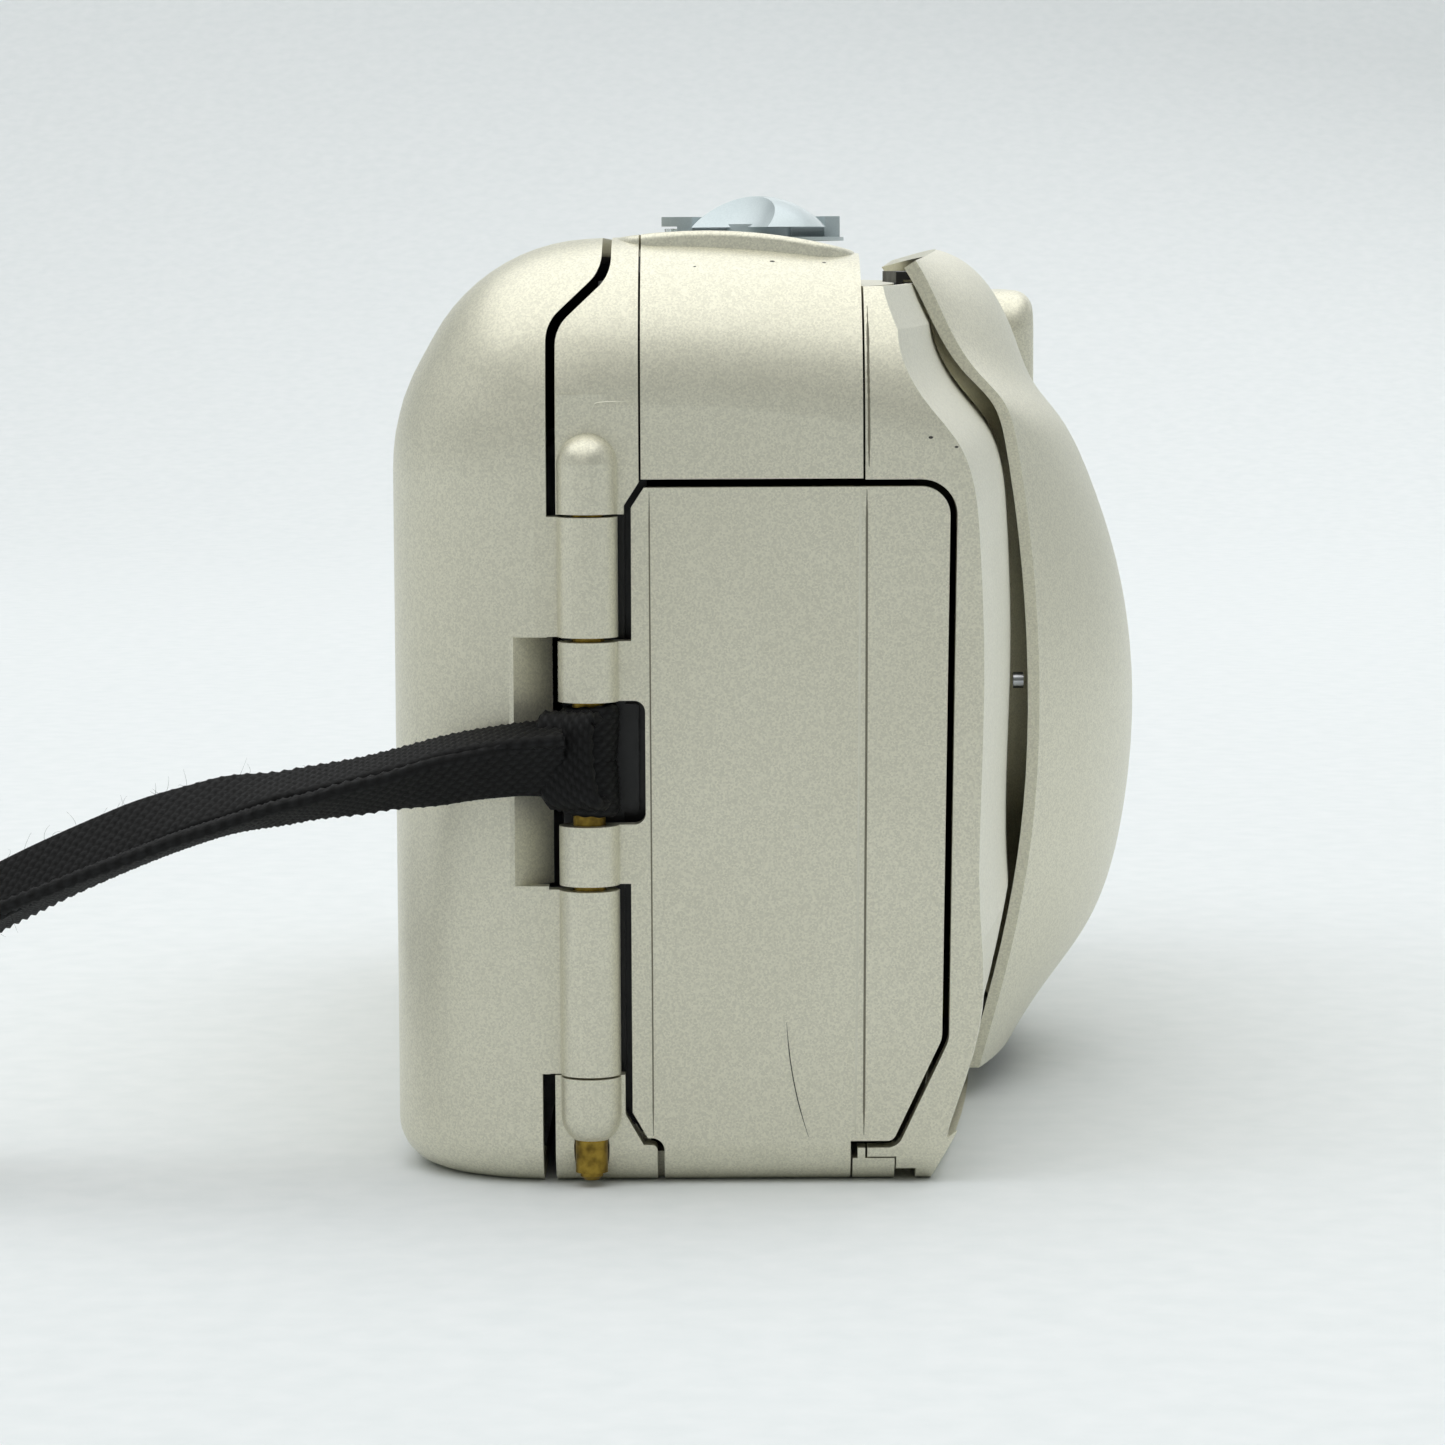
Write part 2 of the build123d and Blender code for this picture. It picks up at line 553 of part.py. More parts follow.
def zoom_ring():
    """Ring lever round the shutter button: low flange, raised far half and a finger lug."""
    crescent = tube(5.5, 4.55, (BUTTON_X, BUTTON_Y, 59.5), 1.6)
    ring = crescent & block(BUTTON_X + 1.5, BUTTON_X + 9, -20, 20, 50, 70)
    ring += tube(5.5, 2.3, (BUTTON_X, BUTTON_Y, 59.5), 0.25)
    ring += tube(3.0, 2.3, (BUTTON_X, BUTTON_Y, 57.0), 2.6)
    ring += tube(3.9, 2.3, (BUTTON_X, BUTTON_Y, 56.6), 0.6)
    lug = block(BUTTON_X + 1.5, BUTTON_X + 4.3, BUTTON_Y + 2.6, BUTTON_Y + 6.3, 60.5, 61.1)
    return ring + lug - rod(4.55, (BUTTON_X, BUTTON_Y, 59.75), 3)


def shutter_button():
    """Domed button with a scooped finger rest."""
    low, top, radius = 60.4, 62.4, 4.35
    ball_r = (radius**2 + (top - low) ** 2) / (2 * (top - low))
    dome = Pos(BUTTON_X, BUTTON_Y, top - ball_r) * Sphere(ball_r)
    cap = rod(radius, (BUTTON_X, BUTTON_Y, low), 3) & dome
    scoop = Pos(BUTTON_X - 5.7, BUTTON_Y + 4.8, 66.2) * Sphere(8.0)
    return cap - scoop + rod(2.1, (BUTTON_X, BUTTON_Y, 57.6), 3.0)


def mode_button(x, y):
    cap = fillet(rod(2.2, (x, y, 57.5), 3.4).edges().group_by(Axis.Z)[-1], 0.4)
    return cap + rod(2.6, (x, y, 57.0), 0.7)


# ---------------------------------------------------------------- film drive

def gear(teeth, x, y, z, thick, phase, bore):
    """Straight gear with slim teeth; one tooth is centred on the phase angle."""
    pitch_r = GEAR_MODULE * teeth / 2
    tip_r, root_r = pitch_r + 0.7 * GEAR_MODULE, pitch_r - 1.0 * GEAR_MODULE
    step = 2 * math.pi / teeth
    outline = []
    for tooth in range(teeth):
        middle = phase + tooth * step
        for radius, side in ((root_r, -0.24), (tip_r, -0.1), (tip_r, 0.1), (root_r, 0.24)):
            angle = middle + side * step
            outline.append((x + radius * math.cos(angle), y + radius * math.sin(angle)))
    return plan_prism(outline, z, z + thick) - rod(bore, (x, y, z - 1), thick + 2)


def gear_layout():
    """Centre and phase of each gear, so that the train meshes at rest."""
    reach = GEAR_MODULE * (SPOOL_TEETH + IDLER_TEETH) / 2
    last = GEAR_MODULE * (IDLER_TEETH + PINION_TEETH) / 2
    span = math.hypot(MOTOR_X - SPOOL_X, MOTOR_Y - SPOOL_Y)
    lean = math.acos((reach**2 + span**2 - last**2) / (2 * reach * span))
    line = math.atan2(MOTOR_Y - SPOOL_Y, MOTOR_X - SPOOL_X) + lean
    idler = (SPOOL_X + reach * math.cos(line), SPOOL_Y + reach * math.sin(line))
    idler_step = 2 * math.pi / IDLER_TEETH
    idler_phase = line + math.pi + idler_step / 2
    onward = math.atan2(MOTOR_Y - idler[1], MOTOR_X - idler[0])
    offset_teeth = (onward - idler_phase) / idler_step
    part_tooth = offset_teeth - math.floor(offset_teeth)
    pinion_step = 2 * math.pi / PINION_TEETH
    pinion_phase = onward + math.pi + (part_tooth + 0.5) * pinion_step
    return line, idler, idler_phase, pinion_phase


def take_up_spool(phase):
    spool = rod(6.2, (SPOOL_X, SPOOL_Y, 12), 36) + rod(7.6, (SPOOL_X, SPOOL_Y, 11), 1.2)
    spool += rod(7.6, (SPOOL_X, SPOOL_Y, 48), 1.2) + rod(1.2, (SPOOL_X, SPOOL_Y, 4.2), 8)
    for turn in range(3):
        angle = math.radians(120 * turn)
        x = SPOOL_X + 6.3 * math.cos(angle)
        y = SPOOL_Y + 6.3 * math.sin(angle)
        spool += rod(0.5, (x, y, 12), 36)
    return spool + gear(SPOOL_TEETH, SPOOL_X, SPOOL_Y, GEAR_Z, GEAR_THICK, phase, 1.0)


def winding_motor():
    return rod(3.7, (MOTOR_X, MOTOR_Y, 9.5), 26) + rod(0.7, (MOTOR_X, MOTOR_Y, 4.0), 6)


def rewind_fork():
    centre = CARTRIDGE_X, CARTRIDGE_Y
    fork = rod(3.0, (*centre, 3.0), 4.6) + rod(1.4, (*centre, 7), 4)
    return fork + Pos(*centre, 9.6) * Box(5.2, 0.8, 4.8)


def tripod_socket():
    socket = tube(5.0, SOCKET_HOLE_R, (SOCKET_X, SOCKET_Y, 0), 6.0)
    return socket + rod(5.0, (SOCKET_X, SOCKET_Y, 6.0), 1.0)


def case_screws():
    """Cross-headed screws in the base."""
    screws = []
    for x, y in SCREW_PLACES:
        screw = rod(1.6, (x, y, 0.15), 0.8) + rod(0.8, (x, y, 0.9), 2.6)
        screw -= block(x - 1, x + 1, y - 0.2, y + 0.2, 0, 0.6)
        screw -= block(x - 0.2, x + 0.2, y - 1, y + 1, 0, 0.6)
        screws.append(screw)
    return Compound(screws)


# ---------------------------------------------------------------- optics and electrics

def eyepiece_housing():
    """Black housing that fills the notch in the film door."""
    housing = block(EYE_X0, EYE_X1, GATE_Y + 0.15, 30, EYE_Z, 66)
    housing += block(EYE_X0, EYE_X1, 11.6, GATE_Y + 1, 57.2, 66)
    housing = housing & envelope(0.25)
    return housing - block(LENS_X - 5, LENS_X + 5, 9, 30, 47.4, 51.6)


def eyepiece_lens():
    return rounded_slab(LENS_X - 4.9, LENS_X + 4.9, 21.6, 22.6, 47.5, 51.5, 0.5, "Y")


def viewfinder_tunnel():
    """Open black tunnel between the front window and the eyepiece."""
    tunnel = block(LENS_X - 5.8, LENS_X + 5.8, -9.7, 10.9, 46.6, 52.4)
    return tunnel - block(LENS_X - 5, LENS_X + 5, -11, 12, 47.4, 51.6)


def front_window(x0, x1):
    """Clear window set back in its opening in the front cover."""
    return rounded_slab(x0 + 0.1, x1 - 0.1, -11.0, -10.2, 46.5, 52.5, 0.9, "Y")


def flash_window():
    """Flash window with fine upright ribs on its inner face."""
    pane = block(30.1, 46.4, -20.1, -19.3, 45.7, 52.6)
    for rib in range(10):
        pane += block(30.9 + rib * 1.5, 31.7 + rib * 1.5, -19.4, -19.0, 46.2, 52.1)
    return pane


def flash_reflector():
    trough = block(30, 46.5, -18.4, -13.0, 45.0, 53.3)
    return trough - rod(3.8, (29, -17.5, 49.15), 19, "X")


def flash_tube():
    return rod(0.9, (30.4, -15.2, 49.15), 15.7, "X")


def flash_capacitor():
    return fillet(rod(3.9, (-1.5, -6.6, 7.2), 24.5, "X").edges(), 0.5)


def main_board():
    """Circuit board under the deck with its larger chips."""
    board = block(-34, 24, -3, 8.3, 54.0, 54.8)
    for x, wide in ((-28, 8), (-14, 6), (16, 5)):
        board += block(x, x + wide, -1, 5, 54.7, 55.8)
    return board


def dx_contacts():
    """Sprung pads that read the cartridge, in the chamber wall."""
    y = CARTRIDGE_Y - CARTRIDGE_R + 0.5
    pads = [block(CARTRIDGE_X + x - 1, CARTRIDGE_X + x + 1, y, y + 0.45, 22 + 5 * n, 25 + 5 * n)
            for x in (-2.5, 0, 2.5) for n in range(2)]
    return Compound(pads)


# ---------------------------------------------------------------- strap

def corner_radii(points):
    """Each arc as large as its two runs allow."""
    radii = []
    for before, corner, after in zip(points, points[1:], points[2:]):
        first = Vector(corner) - Vector(before)
        second = Vector(after) - Vector(corner)
        half_turn = math.radians(first.get_angle(second) / 2)
        radii.append(0.45 * min(first.length, second.length) / math.tan(half_turn))
    return radii


def falling_band():
    """Band in the (y, z) plane that the webbing keeps to, level on the table."""
    fall = [(y, z) for _, y, z in STRAP_ROUTE[:STRAP_TURN]] + [(150.0, 2.5)]
    half = STRAP_WIDTH / 2
    upper = [(y, z + half, 25.0) for y, z in fall[1:-1]]
    lower = [(y, z - half, 25.0) for y, z in reversed(fall[1:-1])]
    start = (fall[0][0] - 1, fall[0][1])
    ends = [(start[0], start[1] + half)], [(150.0, 2.5 + half), (150.0, 2.5 - half)]
    corners = ends[0] + upper + ends[1] + lower + [(start[0], start[1] - half)]
    return side_prism(corners, -70, 40)


def strap():
    """Webbing swept upright along the plan route, trimmed to the falling band."""
    plan = [(x, y, 0) for x, y, _ in STRAP_ROUTE]
    radii = corner_radii(plan)
    path = FilletPolyline(*plan, radius=radii)
    across = Vector(0, 0, 1).cross(path % 0)
    start = Plane(origin=plan[0], x_dir=across, z_dir=path % 0)
    curtain = sweep(start * Rectangle(STRAP_THICK, 80), path=path)
    webbing = curtain & falling_band()
    print("strap: plan radii", [round(r) for r in radii], "plan length", round(path.length, 1))
    print("strap: volume", round(webbing.volume), "section x length",
          round(STRAP_WIDTH * STRAP_THICK * path.length))
    return webbing


def strap_knot():
    """Hitch of the webbing round the hinge pin."""
    low, high = 23.5, 30.3
    ring = rod(2.6, (NEAR_X, AXIS_Y, low), high - low)
    tail = block(-60.9, -57.7, AXIS_Y + 1, 16.45, 24.2, 29.2)
    return ring + tail - rod(PIN_R + 0.2, (NEAR_X, AXIS_Y, low - 1), high - low + 2)


# ---------------------------------------------------------------- all nodes

def casing(outer, inner):
    return {
        "front_cover": front_cover(outer, inner),
        "top_cover": top_cover(outer, inner),
        "body_frame": body_frame(outer, inner),
        "hinge_pin": hinge_pin(),
        "tripod_socket": tripod_socket(),
        "case_screws": case_screws(),
        "film_door": film_door(outer, inner),
        "door_liner": door_liner(),
        "pressure_plate": pressure_plate(),
        "pressure_plate_spring": plate_spring(),
        "door_seals": door_seals(),
        "film_window": block(33.15, 46.85, 24.2, 25.5, 20.15, 35.85),
        "latch_hook": latch_hook(),
        "latch_slider": latch_slider(),
        "battery_door": battery_door(outer, inner),
        "battery": battery(),
        "battery_contact_top": contact_plate(41.2, 0.4),
        "battery_contact_base": contact_plate(4.5, 0.4),
    }


def optics():
    return {
        "lens_barrier": lens_barrier(),
        "barrier_top_shoe": barrier_top_shoe(),
        "barrier_foot_shoe": barrier_foot_shoe(),
        "barrier_stop_pin": barrier_stop_pin(),
        "lens_housing": lens_housing(),
        "lens_bezel": lens_bezel(),
        "outer_barrel": zoom_barrel(11.6, 10.6, -15.6, 10.5, 0.8),
        "inner_barrel": zoom_barrel(9.5, 8.6, -15.8, 9.0, 1.8),
        "front_lens": lens_element(8.4, -13.9, 1.4, 0.7),
        "rear_lens": lens_element(8.4, -8.6, 1.2, 0.5),
        "viewfinder_window": front_window(LENS_X - 6, LENS_X + 6),
        "autofocus_window": front_window(14.6, 22.4),
        "viewfinder_tunnel": viewfinder_tunnel(),
        "eyepiece_housing": eyepiece_housing(),
        "eyepiece_lens": eyepiece_lens(),
        "flash_window": flash_window(),
        "flash_reflector": flash_reflector(),
        "flash_tube": flash_tube(),
        "flash_capacitor": flash_capacitor(),
        "self_timer_lamp": rod(1.35, (28.6, -14.7, 38.5), 1.6, "Y"),
    }


def controls():
    nodes = {
        "zoom_ring": zoom_ring(),
        "shutter_button": shutter_button(),
        "rewind_button": rod(1.15, (*REWIND_PLACE, 0.35), 3.0),
        "lcd_window": rounded_slab(-24.9, -7.1, 0.5, 8.3, 59.95, 60.45, 0.8),
        "lcd_panel": block(-22.8, -9.2, 1.6, 7.2, 58.9, 59.8),
        "main_board": main_board(),
        "dx_contacts": dx_contacts(),
    }
    for name, (x, y) in zip(("flash_button", "timer_button", "drive_button"), MODE_BUTTONS):
        nodes[name] = mode_button(x, y)
    return nodes


def film_drive():
    spool_phase, idler, idler_phase, pinion_phase = gear_layout()
    flat = GEAR_Z, GEAR_THICK
    return {
        "take_up_spool": take_up_spool(spool_phase),
        "idler_gear": gear(IDLER_TEETH, *idler, *flat, idler_phase, 1.0),
        "motor_pinion": gear(PINION_TEETH, MOTOR_X, MOTOR_Y, *flat, pinion_phase, 0.75),
        "winding_motor": winding_motor(),
        "rewind_fork": rewind_fork(),
    }


def main():
    os.makedirs("parts", exist_ok=True)
    outer, inner = envelope(), envelope(WALL)
    nodes = casing(outer, inner) | optics() | controls() | film_drive()
    nodes |= {"strap": strap(), "strap_knot": strap_knot()}
    for name, shape in nodes.items():
        save(name, shape)


if __name__ == "__main__":
    main()
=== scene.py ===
"""Compact film camera with a wrist strap: finishes, woven strap, small details and studio."""

import json
import math
import random

import bpy
from mathutils import Matrix, Vector

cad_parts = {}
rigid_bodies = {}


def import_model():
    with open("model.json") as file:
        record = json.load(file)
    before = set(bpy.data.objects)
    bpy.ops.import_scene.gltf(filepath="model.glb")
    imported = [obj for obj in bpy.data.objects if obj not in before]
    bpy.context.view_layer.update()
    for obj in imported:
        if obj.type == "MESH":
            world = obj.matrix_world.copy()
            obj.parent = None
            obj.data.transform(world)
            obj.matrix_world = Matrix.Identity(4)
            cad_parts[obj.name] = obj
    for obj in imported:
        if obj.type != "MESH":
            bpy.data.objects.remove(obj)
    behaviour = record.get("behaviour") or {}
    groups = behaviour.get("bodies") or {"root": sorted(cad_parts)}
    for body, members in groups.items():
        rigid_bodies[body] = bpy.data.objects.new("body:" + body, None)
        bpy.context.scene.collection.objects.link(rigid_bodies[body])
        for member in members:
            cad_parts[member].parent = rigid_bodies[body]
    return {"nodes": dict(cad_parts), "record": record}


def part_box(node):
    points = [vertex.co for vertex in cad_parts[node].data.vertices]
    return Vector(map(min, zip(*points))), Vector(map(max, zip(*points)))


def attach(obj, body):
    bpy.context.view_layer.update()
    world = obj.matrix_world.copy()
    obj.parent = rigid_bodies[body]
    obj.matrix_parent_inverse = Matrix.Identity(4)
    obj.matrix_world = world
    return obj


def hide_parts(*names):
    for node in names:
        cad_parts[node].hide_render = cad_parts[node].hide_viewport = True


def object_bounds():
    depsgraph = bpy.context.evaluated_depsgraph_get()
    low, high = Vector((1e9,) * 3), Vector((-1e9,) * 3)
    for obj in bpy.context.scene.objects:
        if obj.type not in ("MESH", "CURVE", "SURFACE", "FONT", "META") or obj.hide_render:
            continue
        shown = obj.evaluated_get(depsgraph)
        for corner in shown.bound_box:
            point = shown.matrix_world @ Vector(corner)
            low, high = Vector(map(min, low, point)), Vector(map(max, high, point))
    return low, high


bl_info = {
    "name": "Compact film camera",
    "version": (1, 0, 0),
    "blender": (4, 5, 0),
    "location": "View3D > Sidebar > Film camera",
    "description": "Finishes, strap, small details and studio for the compact film camera",
    "category": "Object",
}

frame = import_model()
CAD_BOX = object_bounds()
MM = 0.001

# Places shared with the part, in millimetres.
NEAR_X, AXIS_Y = -57.4, 12.9          # hinge pin, in the plane of the near side
HITCH_R = 1.56                        # middle of the webbing's turns round the pin

# The moulded shell, seen along y: its middle, half sizes, corner radius and lining depth.
SHELL_MIDDLE = (0.95, 5.0, 29.9)
SHELL_HALF_X, SHELL_HALF_Z = 58.35, 29.9
SHELL_ROUND, LINING_DEPTH = 8.0, 1.25

# Wrist strap: out from the hinge pin, down to the table, round and back to the pin.
# Each row is a place and how far the webbing's upper edge leans inwards, in degrees.
STRAP_ROUTE = [
    (-59.6, 14.6, 29.0, 80), (-60.2, 19.7, 28.7, 82), (-60.4, 26.0, 26.9, 80),
    (-60.4, 31.5, 25.8, 74), (-60.2, 36.3, 24.9, 56), (-59.8, 42.0, 22.9, 44),
    (-58.6, 49.0, 19.6, 38), (-56.2, 57.0, 15.4, 22), (-52.4, 67.0, 10.2, 6),
    (-47.4, 78.5, 5.2, 0), (-40.0, 90.5, 2.7, 0), (-30.5, 102.5, 2.7, 2),
    (-17.5, 112.5, 2.7, 4), (-2.0, 118.5, 2.7, 5), (14.0, 118.0, 2.7, 5),
    (26.0, 109.5, 2.7, 4), (30.0, 96.0, 2.7, 2), (24.0, 84.0, 2.7, 0),
    (11.0, 79.5, 3.0, 0), (-3.5, 84.5, 2.7, 0), (-16.0, 92.0, 2.7, 0),
    (-28.0, 90.5, 2.7, 0), (-37.0, 81.5, 4.0, 0), (-44.0, 70.0, 7.8, 20),
    (-51.0, 59.5, 12.6, 60), (-58.0, 50.0, 17.5, 84), (-60.4, 43.0, 20.7, 86),
    (-61.2, 36.3, 23.3, 84), (-61.5, 31.0, 24.5, 72), (-61.5, 26.3, 25.4, 60),
    (-61.2, 21.5, 26.3, 44), (-60.6, 17.5, 26.9, 38), (-59.8, 14.6, 26.9, 30),
]


def linear(code):
    """sRGB hex code to Blender's linear colour."""
    channels = [int(code[i:i + 2], 16) / 255 for i in (1, 3, 5)]
    parts = [c / 12.92 if c <= 0.04045 else ((c + 0.055) / 1.055) ** 2.4 for c in channels]
    return (*parts, 1.0)


def add(tree, kind, inputs=None, **settings):
    """Adds one node, with its settings, fixed inputs and links."""
    node = tree.nodes.new(kind)
    for key, value in settings.items():
        setattr(node, key, value)
    for socket, value in (inputs or {}).items():
        if isinstance(value, bpy.types.NodeSocket):
            tree.links.new(value, node.inputs[socket])
        else:
            node.inputs[socket].default_value = value
    return node


def start_material(name, **constants):
    """New material with a shader whose fixed values are set on its own sockets."""
    material = bpy.data.materials.new(name)
    material.use_nodes = True
    tree = material.node_tree
    tree.nodes.clear()
    shader = add(tree, "ShaderNodeBsdfPrincipled")
    add(tree, "ShaderNodeOutputMaterial", {"Surface": shader.outputs["BSDF"]})
    for key, value in constants.items():
        shader.inputs[key.replace("_", " ")].default_value = value
    return material, tree, shader


def grain(tree, size_mm, detail=2.0, kind="ShaderNodeTexNoise"):
    """Pattern on Object coordinates whose features are about size_mm across."""
    place = add(tree, "ShaderNodeTexCoord").outputs["Object"]
    inputs = {"Vector": place, "Scale": 1 / (size_mm * MM)}
    if kind == "ShaderNodeTexNoise":
        inputs["Detail"] = detail
    return add(tree, kind, inputs)


def ramp(tree, factor, low, high, a=0.0, b=1.0):
    """Runs a value from low..high to a..b, clamped."""
    node = add(tree, "ShaderNodeMapRange", {"Value": factor, "From Min": low, "From Max": high,
                                            "To Min": a, "To Max": b})
    return node.outputs["Result"]


def mix_colour(tree, factor, a, b):
    node = add(tree, "ShaderNodeMix", data_type="RGBA")
    for index, value in ((0, factor), (6, a), (7, b)):
        if isinstance(value, bpy.types.NodeSocket):
            tree.links.new(value, node.inputs[index])
        else:
            node.inputs[index].default_value = value
    return node.outputs[2]


def math_node(tree, operation, *values):
    return add(tree, "ShaderNodeMath", dict(enumerate(values)), operation=operation).outputs[0]


def vector_node(tree, operation, *values, output=0):
    node = add(tree, "ShaderNodeVectorMath", dict(enumerate(values)), operation=operation)
    return node.outputs[output]


# ------------------------------------------------------------------ materials

def inside_mask(tree, by_normal):
    """1 on the inner faces of the moulded shell, 0 on its painted outside."""
    coords = add(tree, "ShaderNodeTexCoord")
    place = vector_node(tree, "SUBTRACT", coords.outputs["Object"], tuple(c * MM for c in SHELL_MIDDLE))
    apart = add(tree, "ShaderNodeSeparateXYZ", {"Vector": place})
    radius = SHELL_ROUND * MM
    reach = []
    for axis, half in (("X", SHELL_HALF_X * MM), ("Z", SHELL_HALF_Z * MM)):
        size = math_node(tree, "ABSOLUTE", apart.outputs[axis])
        reach.append(math_node(tree, "SUBTRACT", size, half - radius))
    outer = [math_node(tree, "MAXIMUM", r, 0.0) for r in reach]
    corner = add(tree, "ShaderNodeCombineXYZ", {"X": outer[0], "Y": outer[1]})
    away = vector_node(tree, "LENGTH", corner.outputs[0], output=1)
    nearest = math_node(tree, "MINIMUM", math_node(tree, "MAXIMUM", *reach), 0.0)
    depth = math_node(tree, "ADD", away, nearest)
    mask = math_node(tree, "LESS_THAN", depth, radius - LINING_DEPTH * MM)
    if by_normal:
        facing = vector_node(tree, "DOT_PRODUCT", coords.outputs["Normal"], place, output=1)
        mask = math_node(tree, "MULTIPLY", mask, math_node(tree, "LESS_THAN", facing, 0.0))
    return mask


def champagne_paint(name, hidden=None):
    """Champagne metallic lacquer sprayed on moulded ABS: fine aluminium flake under a satin
    clear coat, so it is soft and bright where it turns to the light and grainy close up."""
    finish = bpy.context.scene.camera_finish
    material, tree, shader = start_material(
        name, Metallic=0.55, Coat_Weight=0.18, Coat_Roughness=0.32)
    base = tuple(finish.paint)
    flake = grain(tree, finish.flake_mm, kind="ShaderNodeTexVoronoi")
    cloud = grain(tree, 14.0, 3.0)
    speck = grain(tree, 0.5, 2.0)
    light = tuple(c * 1.09 for c in base[:3]) + (1.0,)
    dark = tuple(c * 0.91 for c in base[:3]) + (1.0,)
    sparkle = add(tree, "ShaderNodeSeparateXYZ", {"Vector": flake.outputs["Color"]})
    amount = math_node(tree, "ADD", math_node(tree, "MULTIPLY", sparkle.outputs["X"], 0.72),
                       math_node(tree, "MULTIPLY", speck.outputs["Fac"], 0.28))
    colour = mix_colour(tree, ramp(tree, amount, 0.25, 0.75), dark, light)
    tint = mix_colour(tree, ramp(tree, cloud.outputs["Fac"], 0.3, 0.7), colour,
                      mix_colour(tree, 0.10, colour, linear("#b8b29a")))
    if hidden:
        mask = inside_mask(tree, hidden == "by normal")
        tint = mix_colour(tree, mask, tint, linear("#1a1a1b"))
        tree.links.new(math_node(tree, "MULTIPLY", math_node(tree, "SUBTRACT", 1.0, mask), 0.55),
                       shader.inputs["Metallic"])
    tree.links.new(tint, shader.inputs["Base Color"])
    rough = ramp(tree, sparkle.outputs["Y"], 0.0, 1.0, 0.33, 0.46)
    tree.links.new(rough, shader.inputs["Roughness"])
    bump = add(tree, "ShaderNodeBump", {"Height": sparkle.outputs["Z"], "Strength": 0.10,
                                        "Distance": 0.02 * MM})
    skin = add(tree, "ShaderNodeBump", {"Height": grain(tree, 0.9, 2.0).outputs["Fac"],
                                        "Strength": 0.12, "Distance": 0.03 * MM,
                                        "Normal": bump.outputs[0]})
    tree.links.new(skin.outputs[0], shader.inputs["Normal"])
    return material


def plain_finish(name, colour, second, size_mm, rough=(0.35, 0.5), bump_mm=0.01,
                 pattern="ShaderNodeTexNoise", **constants):
    """A moulded, turned or pressed surface: two close tones and a fine relief at size_mm."""
    material, tree, shader = start_material(name, **constants)
    fine = grain(tree, size_mm, 3.0, pattern)
    value = fine.outputs["Fac" if pattern == "ShaderNodeTexNoise" else "Distance"]
    broad = grain(tree, size_mm * 14, 2.0).outputs["Fac"]
    blend = math_node(tree, "MULTIPLY", math_node(tree, "ADD", value, broad), 0.5)
    tree.links.new(mix_colour(tree, ramp(tree, blend, 0.3, 0.7), linear(colour), linear(second)),
                   shader.inputs["Base Color"])
    tree.links.new(ramp(tree, broad, 0.3, 0.7, *rough), shader.inputs["Roughness"])
    bump = add(tree, "ShaderNodeBump", {"Height": value, "Strength": 0.4,
                                        "Distance": bump_mm * MM})
    tree.links.new(bump.outputs[0], shader.inputs["Normal"])
    return material


def turned_metal(name, colour, second, rough, lathe_mm=0.12, axis="Z"):
    """Metal turned on a lathe or drawn: fine lines round its axis and a little tarnish."""
    material, tree, shader = start_material(name, Metallic=1.0)
    place = add(tree, "ShaderNodeTexCoord").outputs["Object"]
    stretch = {"X": (1, 0.03, 0.03), "Y": (0.03, 1, 0.03), "Z": (0.03, 0.03, 1)}[axis]
    squeezed = add(tree, "ShaderNodeMapping", {"Vector": place, "Scale": stretch})
    lines = add(tree, "ShaderNodeTexNoise", {"Vector": squeezed.outputs[0], "Detail": 3.0,
                                             "Scale": 1 / (lathe_mm * MM)})
    stain = grain(tree, 0.8, 4.0).outputs["Fac"]
    tree.links.new(mix_colour(tree, ramp(tree, stain, 0.35, 0.65), linear(colour),
                              linear(second)), shader.inputs["Base Color"])
    tree.links.new(ramp(tree, lines.outputs["Fac"], 0.3, 0.7, *rough),
                   shader.inputs["Roughness"])
    bump = add(tree, "ShaderNodeBump", {"Height": lines.outputs["Fac"], "Strength": 0.25,
                                        "Distance": 0.006 * MM})
    tree.links.new(bump.outputs[0], shader.inputs["Normal"])
    return material


def clear_plastic(name, colour, haze, ior=1.49):
    """Clear part moulded in acrylic or ground in glass, with faint haze from handling."""
    material, tree, shader = start_material(
        name, IOR=ior, Transmission_Weight=0.92, Coat_Weight=0.3)
    dust = grain(tree, 0.6, 4.0).outputs["Fac"]
    tree.links.new(ramp(tree, dust, 0.45, 0.75, 0.03, haze), shader.inputs["Roughness"])
    tree.links.new(mix_colour(tree, ramp(tree, dust, 0.3, 0.8), linear(colour),
                              linear("#dfe3e1")), shader.inputs["Base Color"])
    return material


